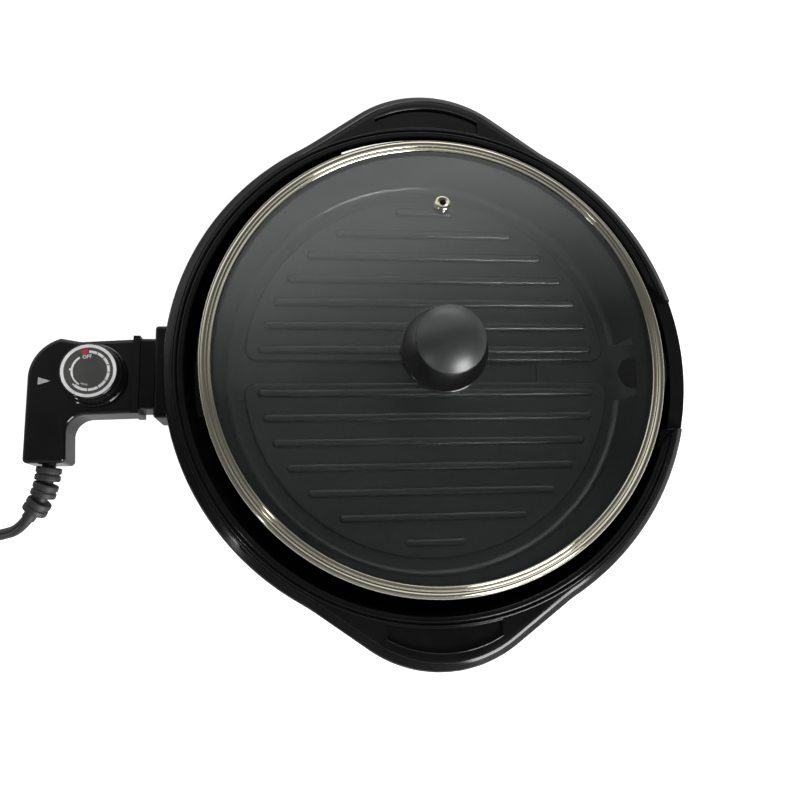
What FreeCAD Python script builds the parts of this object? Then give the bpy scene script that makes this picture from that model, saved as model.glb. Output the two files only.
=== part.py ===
import FreeCAD, Part
import math
import os
import re
import Sketcher
from FreeCAD import Placement, Rotation, Vector

os.makedirs("parts", exist_ok=True)
doc = FreeCAD.newDocument("electric_skillet")

# Driving dimensions in millimetres and degrees. Heights are above the table.
# The pan's axis is the middle of every round piece, and frame_shift puts the
# middle of the whole appliance, without its cord, over the origin.
SIZES = {
    "frame_shift": 45.25,
    # lid
    "ring_level": 84,
    "ring_radius": 150,
    "ring_inner": 142,
    "flange_thick": 4,
    "dome_rise": 19,
    "dome_foot": 141.5,
    "collar_radius": 27.3,
    "collar_high": 7,
    "knob_radius": 21,
    "knob_waist": 13,
    "knob_top": 138,
    "vent_x": 4.6,
    "vent_y": 100.4,
    "vent_radius": 5.3,
    "vent_hole": 2.2,
    # pan
    "lid_gap": 0.3,
    "pan_flange": 149.5,
    "pan_flange_thick": 3,
    "pan_wall": 3.5,
    "pan_mouth": 144.5,
    "moat_foot": 138,
    "moat_level": 38,
    "moat_thick": 4,
    "plate_radius": 132,
    "field_level": 44,
    "field_radius": 126,
    "field_gap": 15,
    "field_skin": 4.5,
    "field_corner": 9,
    "ridge_high": 3.5,
    "ridge_wide": 5.5,
    "ridge_first": 15.05,
    "ridge_pitch": 16.72,
    "ridge_circle": 117.3,
    "pocket_width": 40,
    "pocket_tip": 162,
    "pocket_bend": 40,
    "pocket_top": 60,
    "pocket_wall": 2.2,
    "drain_hole": 11.5,
    "drain_x": 148.5,
    # heating
    "axis_level": 29,
    "element_ring": 85,
    "element_bend": 12,
    "element_tube": 4,
    "leg_offset": 11,
    "leg_end": 144,
    "pin_radius": 2,
    "pin_tip": 174,
    "bead_radius": 5,
    "bracket_x": 148.2,
    "bracket_thick": 1.2,
    "bracket_width": 69,
    "bracket_low": 15,
    "bracket_high": 44,
    "shield_level": 20,
    "shield_sheet": 0.8,
    "shield_radius": 122,
    # base shell
    "rim_radius": 174.5,
    "rim_inner": 160.5,
    "rim_under": 59.5,
    "rim_edge": 65.5,
    "rim_top": 70.5,
    "rim_slope": 6.5,
    "wall_thick": 3,
    "wall_foot": 152,
    "floor_under": 6,
    "floor_thick": 3,
    "handle_reach": 194.5,
    "handle_crown": 80.5,
    "handle_angle": 35.5,
    "handle_blend": 120,
    "bead_line": 165.2,
    "recess_depth": 2,
    "recess_half": 36,
    "recess_outer": 182.5,
    "recess_bend": 74,
    "recess_inner": 167.5,
    "post_circle": 108,
    "post_radius": 8,
    "bolt_radius": 2.5,
    "foot_circle": 128,
    "foot_radius": 12,
    "foot_stem": 4,
    # drip tray
    "bay_half": 45,
    "tray_half": 44.6,
    "tray_top": 64,
    "tray_lip": 164.2,
    "tray_low": 12,
    "tray_foot": 163,
    "cup_half": 36,
    "cup_back": 131,
    "cup_high": 31,
    "cup_wall": 2,
    # socket guard
    "guard_face": 193.3,
    "guard_step": 183,
    "guard_back": 160.6,
    "guard_half": 24,
    "guard_low": 14.6,
    "guard_high": 40.8,
    "hood_half": 31,
    "hood_low": 12,
    "hood_high": 47,
    "guard_wall": 2.6,
    # probe
    "probe_low": 15,
    "probe_split": 29,
    "probe_high": 40.5,
    "probe_wall": 2.4,
    "probe_left": 264.8,
    "dial_x": 222,
    "dial_y": -1.7,
    "dial_low": 41,
    "dial_face": 55.5,
    "dial_flange": 21,
    "dial_top": 18.2,
    "disc_radius": 17.6,
    "disc_thick": 0.6,
    "shaft_radius": 3,
    "rod_radius": 3,
    "rod_tip": 112,
    "nose_half": 20.5,
    "nose_low": 18.6,
    "nose_high": 37.4,
    "nose_tip": 166,
    # cord
    "cord_radius": 3.6,
    "coil_x": -376,
    "coil_y": -172.8,
    "coil_outer": 47.8,
    "coil_step": 3.9,
    "coil_low": 4.8,
    "coil_rise": 7.7,
    "tie_sheet": 1,
}

dims = doc.addObject("Spreadsheet::Sheet", "dims")
for row, (name, size) in enumerate(SIZES.items(), start=1):
    dims.set(f"A{row}", name)
    dims.set(f"B{row}", str(size))
    dims.setAlias(f"B{row}", name)
doc.recompute()

pieces = []


def sheet(text):
    """The expression with every size's name pointing at its cell."""
    return re.sub(r"[a-z_]+", lambda m: "dims." + m.group() if m.group() in SIZES else m.group(), text)


def value(text):
    """A size or a sum of sizes as a number."""
    return float(dims.evalExpression(sheet(text)))


def bind(item, prop, text):
    item.setExpression(prop, sheet(text))


def place(item, x="0", y="0", z="0"):
    """Puts a finished piece where it belongs in the appliance's frame."""
    bind(item, "Placement.Base.x", f"frame_shift + {x}")
    bind(item, "Placement.Base.y", y)
    bind(item, "Placement.Base.z", z)
    pieces.append(item)


def new_body(label, x="0", y="0", z="0"):
    body = doc.addObject("PartDesign::Body", label)
    place(body, x, y, z)
    return body


def plane_of(body, role):
    return next(item for item in body.Origin.OriginFeatures if item.Role == role)


def new_sketch(body, name, role="XY_Plane", offset=None):
    """A sketch on one of the body's own planes, moved along that plane's normal."""
    drawing = body.newObject("Sketcher::SketchObject", name)
    drawing.AttachmentSupport = [(plane_of(body, role), "")]
    drawing.MapMode = "FlatFace"
    if offset:
        bind(drawing, "AttachmentOffset.Base.z", offset)
    return drawing


def arc_between(start, end, bend):
    """The short arc from start to end, turning left when bend is positive."""
    middle = (start + end) * 0.5
    half = (end - start) * 0.5
    left = Vector(-half.y, half.x, 0).normalize()
    away = math.sqrt(max(bend * bend - half.Length ** 2, 0))
    centre = middle + left * (away if bend > 0 else -away)
    first, last = (start, end) if bend > 0 else (end, start)
    begin = math.atan2(first.y - centre.y, first.x - centre.x)
    finish = math.atan2(last.y - centre.y, last.x - centre.x)
    round_line = Part.Circle(centre, Vector(0, 0, 1), abs(bend))
    return Part.ArcOfCircle(round_line, begin, finish if finish > begin else finish + 2 * math.pi)


def tie_down(drawing, edge, end, x, y):
    """Fixes one end of a sketch line by two sizes from the sketch's origin."""
    for kind, text in (("DistanceX", x), ("DistanceY", y)):
        index = drawing.addConstraint(Sketcher.Constraint(kind, -1, 1, edge, end, value(text)))
        bind(drawing, f"Constraints[{index}]", text)


def draw(drawing, corners, closed=True):
    """An outline from corners (x, y), or (x, y, bend) where an arc arrives at the corner."""
    spots = [Vector(value(corner[0]), value(corner[1]), 0) for corner in corners]
    ends = {}
    for index in range(0 if closed else 1, len(corners)):
        bend = corners[index][2] if len(corners[index]) == 3 else None
        if bend is None:
            edge = drawing.addGeometry(Part.LineSegment(spots[index - 1], spots[index]), False)
            ends[index] = (edge, 1, 2)
            continue
        turn = value(bend)
        edge = drawing.addGeometry(arc_between(spots[index - 1], spots[index], turn), False)
        ends[index] = (edge, 1, 2) if turn > 0 else (edge, 2, 1)
        radius = drawing.addConstraint(Sketcher.Constraint("Radius", edge, abs(turn)))
        bind(drawing, f"Constraints[{radius}]", f"abs({bend})")
    for index, (edge, begin, finish) in ends.items():
        tie_down(drawing, edge, finish, corners[index][0], corners[index][1])
        following = (index + 1) % len(corners)
        if following in ends:
            other, other_begin, _ = ends[following]
            drawing.addConstraint(Sketcher.Constraint("Coincident", edge, finish, other, other_begin))
    if not closed:
        edge, begin, _ = ends[1]
        tie_down(drawing, edge, begin, corners[0][0], corners[0][1])


def ring_line(drawing, x, y, radius):
    """A full circle with its middle and radius tied to sizes."""
    middle = Vector(value(x), value(y), 0)
    edge = drawing.addGeometry(Part.Circle(middle, Vector(0, 0, 1), value(radius)), False)
    tie_down(drawing, edge, 3, x, y)
    index = drawing.addConstraint(Sketcher.Constraint("Radius", edge, value(radius)))
    bind(drawing, f"Constraints[{index}]", radius)


def box_corners(low_x, low_y, high_x, high_y):
    return [(low_x, low_y), (high_x, low_y), (high_x, high_y), (low_x, high_y)]


def pad(body, drawing, length, down=False):
    feature = body.newObject("PartDesign::Pad", drawing.Name + "_pad")
    feature.Profile = drawing
    bind(feature, "Length", length)
    feature.Reversed = down
    drawing.Visibility = False
    return feature


def pocket(body, drawing, length, up=False):
    """Cuts from the sketch down by length, or up."""
    feature = body.newObject("PartDesign::Pocket", drawing.Name + "_cut")
    feature.Profile = drawing
    bind(feature, "Length", length)
    feature.Reversed = up
    return feature


def turn(body, drawing, cut=False):
    """Turns a sketch on the upright plane round the body's upright axis."""
    kind = "PartDesign::Groove" if cut else "PartDesign::Revolution"
    feature = body.newObject(kind, drawing.Name + ("_groove" if cut else "_turn"))
    feature.Profile = drawing
    feature.ReferenceAxis = (drawing, ["V_Axis"])
    feature.Angle = 360
    return feature


def around(body, features, count):
    """Repeats features round the body's upright axis."""
    doc.recompute()
    pattern = body.newObject("PartDesign::PolarPattern", features[0].Name + "_around")
    pattern.Originals = features
    pattern.Axis = (plane_of(body, "Z_Axis"), [""])
    pattern.Angle = 360
    pattern.Occurrences = count
    body.Tip = pattern
    return pattern


def mirrored(body, features, role="XZ_Plane"):
    doc.recompute()
    pattern = body.newObject("PartDesign::Mirrored", features[0].Name + "_mirror")
    pattern.Originals = features
    pattern.MirrorPlane = (plane_of(body, role), [""])
    body.Tip = pattern
    return pattern


def along(body, features, length, count):
    """Repeats features along the body's Y axis over the length."""
    doc.recompute()
    pattern = body.newObject("PartDesign::LinearPattern", features[0].Name + "_along")
    pattern.Originals = features
    pattern.Direction = (plane_of(body, "Y_Axis"), [""])
    bind(pattern, "Length", length)
    pattern.Occurrences = count
    body.Tip = pattern
    return pattern


def soften(body, radius, pick, second=None):
    """Rounds the picked edges of the body's last shape, or bevels them with two sizes."""
    doc.recompute()
    last = body.Tip
    names = [f"Edge{index}" for index, edge in enumerate(last.Shape.Edges, start=1) if pick(edge)]
    if not names:
        raise RuntimeError(f"{body.Label}: no edge was picked to soften")
    kind = "PartDesign::Chamfer" if second else "PartDesign::Fillet"
    feature = body.newObject(kind, f"{last.Name}_{'bevel' if second else 'round'}")
    feature.Base = (last, names)
    if second:
        feature.ChamferType = "Two distances"
        bind(feature, "Size", radius)
        bind(feature, "Size2", second)
    else:
        bind(feature, "Radius", radius)
    body.Tip = feature
    return feature


def ends_of(edge):
    return [vertex.Point for vertex in edge.Vertexes]


def level(edge, text):
    """True for an edge that lies flat at a height."""
    height = value(text)
    box = edge.BoundBox
    return abs(box.ZMin - height) < 0.01 and abs(box.ZMax - height) < 0.01


def upright(edge):
    box = edge.BoundBox
    return box.XLength < 0.01 and box.YLength < 0.01 and box.ZLength > 0.5


def spin(label, corners, x="0", y="0", z="0"):
    """A round piece turned from one outline of (radius, height) corners."""
    body = new_body(label, x, y, z)
    drawing = new_sketch(body, label + "_outline", "XZ_Plane")
    draw(drawing, corners)
    turn(body, drawing)
    return body


def cylinder(label, radius, length, axis, x, y, z):
    """A plain Part cylinder lying along an axis, from its own start point."""
    item = doc.addObject("Part::Cylinder", label)
    bind(item, "Radius", radius)
    bind(item, "Height", length)
    item.Placement = Placement(Vector(), Rotation(Vector(0, 0, 1), axis))
    bind(item, "Placement.Base.x", f"frame_shift + {x}")
    bind(item, "Placement.Base.y", y)
    bind(item, "Placement.Base.z", z)
    return item


def joined(label, items):
    """Several bodies as one node, such as a set of identical screws."""
    item = doc.addObject("Part::Compound", label)
    item.Links = items
    pieces.append(item)
    return item


def fused(label, items):
    item = doc.addObject("Part::MultiFuse", label)
    item.Shapes = items
    pieces.append(item)
    return item


def cut(label, whole, tool):
    item = doc.addObject("Part::Cut", label)
    item.Base = whole
    item.Tool = tool
    return item


def lid_glass():
    low = "ring_level - flange_thick / 2 - 0.6"
    high = "ring_level + flange_thick / 2 - 0.6"
    bend = "(dome_foot^2 + dome_rise^2) / (2 * dome_rise)"
    body = spin("lid_glass", [
        ("0", f"{low} + dome_rise"),
        ("dome_foot", low, f"-({bend})"),
        ("ring_radius - 1.6", low),
        ("ring_radius - 1.6", high),
        ("dome_foot", high),
        ("0", f"{high} + dome_rise", bend),
    ])
    holes = new_sketch(body, "glass_holes", "XY_Plane", "ring_level + 40")
    ring_line(holes, "0", "0", "bolt_radius + 0.9")
    ring_line(holes, "vent_x", "vent_y", "vent_radius - 0.6")
    pocket(body, holes, "60")


def lid_ring():
    """Rolled steel band with an outer bead, a valley and an inner bead."""
    spin("lid_ring", [
        ("ring_inner", "ring_level + 1.6"),
        ("ring_radius - 1.3", "ring_level + 1.6"),
        ("ring_radius - 1.3", "ring_level - 2.8"),
        ("ring_inner + 1.5", "ring_level - 2.8"),
        ("ring_inner + 1.5", "ring_level - 3.5"),
        ("ring_radius - 0.8", "ring_level - 3.5"),
        ("ring_radius", "ring_level - 2.7", "0.8"),
        ("ring_radius", "ring_level + 0.9"),
        ("ring_radius - 3", "ring_level + 2.6", "2.3"),
        ("ring_radius - 4.4", "ring_level + 2.2"),
        ("ring_inner + 0.5", "ring_level + 2.4", "2.1"),
    ])


def vent_eyelet():
    """Rivet-like eyelet square to the sloping glass."""
    reach = math.hypot(value("vent_x"), value("vent_y"))
    bend = value("(dome_foot^2 + dome_rise^2) / (2 * dome_rise)")
    fall = bend - math.sqrt(bend ** 2 - reach ** 2)
    top = value("ring_level + flange_thick / 2 - 0.6 + dome_rise") - fall
    body = spin("vent_eyelet", [
        ("vent_hole", "-5.2"),
        ("vent_radius - 0.4", "-5.2"),
        ("vent_radius - 0.4", "-4.5"),
        ("vent_hole + 1.6", "-4.5"),
        ("vent_hole + 1.6", "0.1"),
        ("vent_radius", "0.1"),
        ("vent_radius - 1.6", "1.3", "2"),
        ("vent_hole", "0.6"),
    ], "vent_x", "vent_y", f"{top:.3f}")
    lean = math.degrees(math.asin(reach / bend))
    body.Placement.Rotation = Rotation(Vector(-value("vent_y"), value("vent_x"), 0), lean)


def lid_knob():
    """Mushroom knob with a domed cap over a waist."""
    foot = "ring_level + dome_rise + 1.4 + collar_high"
    body = spin("lid_knob", [
        ("0", f"{foot} + 0.1"),
        ("knob_waist", f"{foot} + 0.1"),
        ("knob_radius - 1.5", "knob_top - 12.5", "-15"),
        ("knob_radius", "knob_top - 10", "2.2"),
        ("knob_radius - 1", "knob_top - 8.2", "2.2"),
        ("0", "knob_top", "((knob_radius - 1)^2 + 8.2^2) / (2 * 8.2)"),
    ])
    drawing = new_sketch(body, "knob_bore", "XY_Plane", foot)
    ring_line(drawing, "0", "0", "bolt_radius + 0.05")
    pocket(body, drawing, "13", up=True)


def knob_collar():
    foot = "ring_level + dome_rise + 1.4"
    spin("knob_collar", [
        ("bolt_radius + 0.3", f"{foot} + 0.1"),
        ("collar_radius - 1.5", f"{foot} + 0.1"),
        ("collar_radius", f"{foot} + 1.1", "1.6"),
        ("collar_radius - 0.9", f"{foot} + 2.4", "1.1"),
        ("knob_waist + 3", f"{foot} + collar_high - 0.7", "-22"),
        ("knob_waist + 1.2", f"{foot} + collar_high", "1.6"),
        ("bolt_radius + 0.3", f"{foot} + collar_high"),
    ])


def knob_fixing():
    under = "ring_level + dome_rise + 1.4 - flange_thick"
    spin("knob_washer", [
        ("bolt_radius + 0.3", f"{under} - 1.5"),
        ("9", f"{under} - 1.5"),
        ("9", f"{under} - 0.1"),
        ("bolt_radius + 0.3", f"{under} - 0.1"),
    ])
    spin("knob_screw", [
        ("0", f"{under} - 4.4"),
        ("3", f"{under} - 4.4"),
        ("4.6", f"{under} - 2.9", "2"),
        ("4.6", f"{under} - 1.6"),
        ("bolt_radius", f"{under} - 1.6"),
        ("bolt_radius", f"{under} + 22"),
        ("0", f"{under} + 22"),
    ])


def element_path(body, name):
    """The heater's centre line: in along one leg, round the ring and out along the other."""
    path = new_sketch(body, name, "XY_Plane", "axis_level")
    reach = "sqrt((element_ring + element_bend)^2 - (leg_offset + element_bend)^2)"
    share = "element_ring / (element_ring + element_bend)"
    touch_x = f"-({reach}) * {share}"
    touch_y = f"(leg_offset + element_bend) * {share}"
    draw(path, [
        ("-leg_end", "leg_offset"),
        (f"-({reach})", "leg_offset"),
        (touch_x, touch_y, "element_bend"),
        ("0", "element_ring", "-element_ring"),
        ("element_ring", "0", "-element_ring"),
        ("0", "-element_ring", "-element_ring"),
        (touch_x, f"-({touch_y})", "-element_ring"),
        (f"-({reach})", "-leg_offset", "element_bend"),
        ("-leg_end", "-leg_offset"),
    ], closed=False)
    return path


def pipe(body, name, radius, path, x, y, z, cutting=False):
    """A round section carried along a path that starts square to the YZ plane."""
    section = new_sketch(body, name + "_section", "YZ_Plane", x)
    ring_line(section, y, z, radius)
    kind = "PartDesign::SubtractivePipe" if cutting else "PartDesign::AdditivePipe"
    feature = body.newObject(kind, name)
    feature.Profile = section
    feature.Spine = path
    return feature


def heating_element():
    body = new_body("heating_element")
    path = element_path(body, "element_line")
    pipe(body, "element_sweep", "element_tube", path, "-leg_end", "leg_offset", "axis_level")


def ridge_row(index):
    return f"(ridge_first + {index} * ridge_pitch)"


def plate_underside(body):
    """Hollows under the fields, the heater's boss, the sensor's rib and the fixing studs."""
    roof = "(field_level - field_skin)"
    flat = "(field_gap / 2 + field_skin)"
    wide = "(field_radius - field_skin)"
    half = f"sqrt({wide}^2 - {flat}^2)"
    for side, sign in (("back", ""), ("front", "-")):
        left, right = (f"-{half}", half) if sign == "" else (half, f"-{half}")
        drawing = new_sketch(body, f"hollow_{side}", "XY_Plane", "moat_level - moat_thick - 1")
        draw(drawing, [(right, f"{sign}{flat}"), ("0", f"{sign}{wide}", wide), (left, f"{sign}{flat}", wide)])
        pocket(body, drawing, f"{roof} - moat_level + moat_thick + 1", up=True)
    boss = new_sketch(body, "heater_boss", "XY_Plane", "axis_level")
    ring_line(boss, "0", "0", "element_ring + 2 * element_tube")
    ring_line(boss, "0", "0", "element_ring - 2 * element_tube")
    pad(body, boss, f"{roof} - axis_level + 1")
    block = new_sketch(body, "leg_block", "XY_Plane", "axis_level")
    draw(block, box_corners("-plate_radius + 2.2", "-leg_offset - 7.5", "-element_ring + 5", "leg_offset + 7.5"))
    pad(body, block, f"{roof} - axis_level + 1")
    rib = new_sketch(body, "sensor_rib", "XY_Plane", "axis_level - 5.5")
    draw(rib, box_corners("-plate_radius + 1.4", "-6.4", "-rod_tip + 6", "6.4"))
    pad(body, rib, f"{roof} - axis_level + 6")
    bore = new_sketch(body, "sensor_bore", "YZ_Plane", "-leg_end - 1")
    ring_line(bore, "0", "axis_level", "rod_radius + 0.3")
    pocket(body, bore, "leg_end + 1 - rod_tip + 1", up=True)
    studs = new_sketch(body, "studs", "XY_Plane", "shield_level + shield_sheet")
    for x, y in posts():
        ring_line(studs, x, y, "post_radius - 1")
    pad(body, studs, f"{roof} - shield_level")
    holes = new_sketch(body, "stud_holes", "XY_Plane", "shield_level")
    for x, y in posts():
        ring_line(holes, x, y, "bolt_radius + 0.05")
    pocket(body, holes, "16", up=True)
    path = element_path(body, "heater_line")
    pipe(body, "heater_groove", "element_tube", path, "-leg_end", "leg_offset", "axis_level", cutting=True)


def pocket_line(body, name, wall, low):
    """The drain pocket's outline in plan, drawn out by a wall, from the plate to its round tip."""
    half = f"(pocket_width / 2 + {wall})"
    bend = f"(pocket_bend + {wall})"
    side = f"pocket_tip - pocket_bend + sqrt({bend}^2 - {half}^2)"
    drawing = new_sketch(body, name, "XY_Plane", low)
    draw(drawing, [("plate_radius - 4", f"-{half}"), (side, f"-{half}"), (side, half, bend),
                   ("plate_radius - 4", half)])
    return drawing


def posts():
    """The four fixing points on the diagonals."""
    spot = "(post_circle * cos(45))"
    return [(spot, spot), (f"-{spot}", spot), (f"-{spot}", f"-{spot}"), (spot, f"-{spot}")]


PAN_RIM = "(ring_level - 3.5 - lid_gap)"
PAN_UNDER = "(moat_level - moat_thick)"
PAN_SIDE = [
    ("moat_foot + 0.5", PAN_UNDER),
    ("moat_foot + pan_wall + 0.4", f"{PAN_UNDER} + 4", "4.5"),
    ("pan_flange - 1.6", f"{PAN_RIM} - pan_flange_thick"),
]


def grill_pan():
    """The vessel: the outer moat up to the drain spout, the wall with its window, and the flange."""
    body = spin("grill_pan", [
        ("plate_radius", PAN_UNDER),
        *PAN_SIDE,
        ("pan_flange", f"{PAN_RIM} - pan_flange_thick"),
        ("pan_flange", PAN_RIM),
        ("pan_mouth", PAN_RIM),
        ("moat_foot", "moat_level + 5"),
        ("moat_foot - 5", "moat_level", "-5.2"),
        ("plate_radius", "moat_level"),
    ])
    seat = pocket_line(body, "spout_seat", "pocket_wall", f"{PAN_UNDER} - 1")
    pocket(body, seat, f"moat_level - {PAN_UNDER} + 1", up=True)
    room = pocket_line(body, "window", "0", "moat_level")
    pocket(body, room, "pocket_top - moat_level", up=True)


def drain_spout():
    """The moat's floor before the window and the pocket beyond it, with the hole over the drip tray."""
    body = new_body("drain_spout")
    block_line = pocket_line(body, "spout_block", "pocket_wall", PAN_UNDER)
    pad(body, block_line, f"pocket_top - {PAN_UNDER}")
    core = new_sketch(body, "pan_side", "XZ_Plane")
    draw(core, [("0", f"{PAN_UNDER} - 1"), ("plate_radius", f"{PAN_UNDER} - 1"), ("plate_radius", "moat_level"),
                ("moat_foot + pan_wall + 0.4", "moat_level"), PAN_SIDE[2], ("0", f"{PAN_RIM} - pan_flange_thick")])
    turn(body, core, cut=True)
    room = pocket_line(body, "spout_room", "0", "moat_level")
    pocket(body, room, "pocket_top - moat_level", up=True)
    drain = new_sketch(body, "spout_drain", "XY_Plane", "moat_level + 1")
    ring_line(drain, "drain_x", "0", "drain_hole")
    pocket(body, drain, "8")


def grill_plate():
    """The cooking plate: two raised fields with ridges, and the heater's seat beneath."""
    body = spin("grill_plate", [("0", PAN_UNDER), ("plate_radius", PAN_UNDER), ("plate_radius", "moat_level"),
                                ("0", "moat_level")])
    for side, sign in (("back", ""), ("front", "-")):
        flat = "field_gap / 2"
        half = "sqrt(field_radius^2 - (field_gap / 2)^2)"
        left, right = f"-{half}", half
        if sign:
            left, right = right, left
        drawing = new_sketch(body, f"field_{side}", "XY_Plane", "moat_level")
        draw(drawing, [(right, f"{sign}{flat}"), ("0", f"{sign}field_radius", "field_radius"),
                       (left, f"{sign}{flat}", "field_radius")])
        pad(body, drawing, "field_level - moat_level")
    corner_x = value("sqrt(field_radius^2 - (field_gap / 2)^2)")
    soften(body, "field_corner", lambda e: upright(e) and abs(abs(e.Vertexes[0].X) - corner_x) < 0.1
           and abs(abs(e.Vertexes[0].Y) - value("field_gap / 2")) < 0.1)
    soften(body, "1.6", lambda e: level(e, "field_level"))
    plate_underside(body)
    rows = []
    for index in range(7):
        middle = ridge_row(index)
        half = f"(sqrt(ridge_circle^2 - {middle}^2) - ridge_wide / 2)"
        low, high = f"{middle} - ridge_wide / 2", f"{middle} + ridge_wide / 2"
        drawing = new_sketch(body, f"ridge_{index}", "XY_Plane", "field_level - 0.5")
        draw(drawing, [(half, low), (half, high, "0.52 * ridge_wide"), (f"-{half}", high),
                       (f"-{half}", low, "0.52 * ridge_wide")])
        rows.append(pad(body, drawing, "ridge_high + 0.5"))
    mirrored(body, rows)
    soften(body, "2", lambda e: level(e, "field_level + ridge_high"))


def block(label, low, high):
    """A plain Part box between two corners."""
    item = doc.addObject("Part::Box", label)
    for prop, start, end in zip(("Length", "Width", "Height"), low, high):
        bind(item, prop, f"({end}) - ({start})")
    bind(item, "Placement.Base.x", f"frame_shift + {low[0]}")
    bind(item, "Placement.Base.y", low[1])
    bind(item, "Placement.Base.z", low[2])
    return item


def fixings(label, spots, axis, head_radius, head_long, shaft_radius, shaft_long):
    """Identical screws: a head at each spot and a shaft that runs on along the axis."""
    parts = []
    for index, (x, y, z) in enumerate(spots):
        head = cylinder(f"{label}_head_{index}", head_radius, head_long, axis, x, y, z)
        shaft = cylinder(f"{label}_shaft_{index}", shaft_radius, shaft_long, axis, x, y, z)
        parts += [head, shaft]
    fused(label, parts)


def heating_parts():
    tips = [("-leg_end", "leg_offset", "axis_level"), ("-leg_end", "-leg_offset", "axis_level")]
    back = Vector(-1, 0, 0)
    pins, beads = [], []
    for index, (x, y, z) in enumerate(tips):
        pins.append(cylinder(f"pin_{index}", "pin_radius", "pin_tip - leg_end", back, x, y, z))
        outer = cylinder(f"bead_{index}", "bead_radius", "7", back, x, y, z)
        inner = cylinder(f"bead_bore_{index}", "pin_radius", "7", back, x, y, z)
        beads.append(cut(f"bead_ring_{index}", outer, inner))
    joined("terminal_pins", pins)
    joined("pin_insulators", beads)
    body = new_body("terminal_bracket")
    plate = new_sketch(body, "bracket_plate", "YZ_Plane", "-bracket_x")
    draw(plate, [("-24", "bracket_low + 2"), ("24", "bracket_low + 2"), ("bracket_width / 2", "bracket_high - 10"),
                 ("bracket_width / 2", "bracket_high + 2"), ("-bracket_width / 2", "bracket_high + 2"),
                 ("-bracket_width / 2", "bracket_high - 10")])
    pad(body, plate, "bracket_thick")
    holes = new_sketch(body, "bracket_holes", "YZ_Plane", "-bracket_x - 1")
    for side in ("", "-"):
        ring_line(holes, f"{side}leg_offset", "axis_level", "bead_radius")
        ring_line(holes, f"{side}26.5", "axis_level + 0.5", "bolt_radius - 0.3")
    ring_line(holes, "0", "axis_level", "rod_radius + 0.8")
    pocket(body, holes, "bracket_thick + 2", up=True)


def heat_shield():
    body = spin("heat_shield", [
        ("0", "shield_level"),
        ("shield_radius - 1.5", "shield_level"),
        ("shield_radius", "shield_level + 1.5", "1.5"),
        ("shield_radius", "shield_level + 2.8"),
        ("shield_radius - shield_sheet", "shield_level + 2.8"),
        ("shield_radius - shield_sheet", "shield_level + 1.5"),
        ("shield_radius - 1.5", "shield_level + shield_sheet", "-0.7"),
        ("0", "shield_level + shield_sheet"),
    ])
    holes = new_sketch(body, "shield_holes", "XY_Plane", "shield_level - 1")
    for x, y in posts():
        ring_line(holes, x, y, "bolt_radius + 0.3")
    pocket(body, holes, "4", up=True)


def handle_points(inset="0"):
    """Corners of one handle's side, drawn in by inset: crown end, flank end and rim end."""
    line = f"((handle_reach - handle_crown) * cos(handle_angle) + handle_crown - {inset})"
    slide = "(-sqrt((rim_radius + handle_blend)^2 - ((handle_reach - handle_crown) * cos(handle_angle)" \
            " + handle_crown + handle_blend)^2))"
    crown = ("((handle_crown - %s) * sin(handle_angle))" % inset,
             "(handle_reach - handle_crown + (handle_crown - %s) * cos(handle_angle))" % inset)
    flank = (f"({line} * sin(handle_angle) + {slide} * cos(handle_angle))",
             f"({line} * cos(handle_angle) - {slide} * sin(handle_angle))")
    share = "rim_radius / (rim_radius + handle_blend)"
    rim = (f"((({line} + handle_blend) * sin(handle_angle) + {slide} * cos(handle_angle)) * {share})",
           f"((({line} + handle_blend) * cos(handle_angle) - {slide} * sin(handle_angle)) * {share})")
    return crown, flank, rim


def rim_block(body):
    """The round rim with its two handles, bevelled all round."""
    crown, flank, rim = handle_points()
    corners = []
    for right, up in (("", ""), ("-", ""), ("-", "-"), ("", "-")):
        side = [(right + rim[0], up + rim[1]), (right + flank[0], up + flank[1]), (right + crown[0], up + crown[1])]
        corners.append(side if (right == up) else side[::-1])
    outline = []
    for index, side in enumerate(corners):
        first, second, third = side
        if index % 2 == 0:
            outline += [(*first, "rim_radius"), (*second, "-handle_blend"), third]
        else:
            outline += [(*first, "handle_crown"), second, (*third, "-handle_blend")]
    drawing = new_sketch(body, "rim_outline", "XY_Plane", "rim_under")
    draw(drawing, outline)
    pad(body, drawing, "rim_top - rim_under")
    soften(body, "rim_top - rim_edge", lambda e: level(e, "rim_top"), "rim_slope")
    soften(body, "8", lambda e: level(e, "rim_top"))
    soften(body, "3", lambda e: level(e, "rim_edge"))


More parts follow.
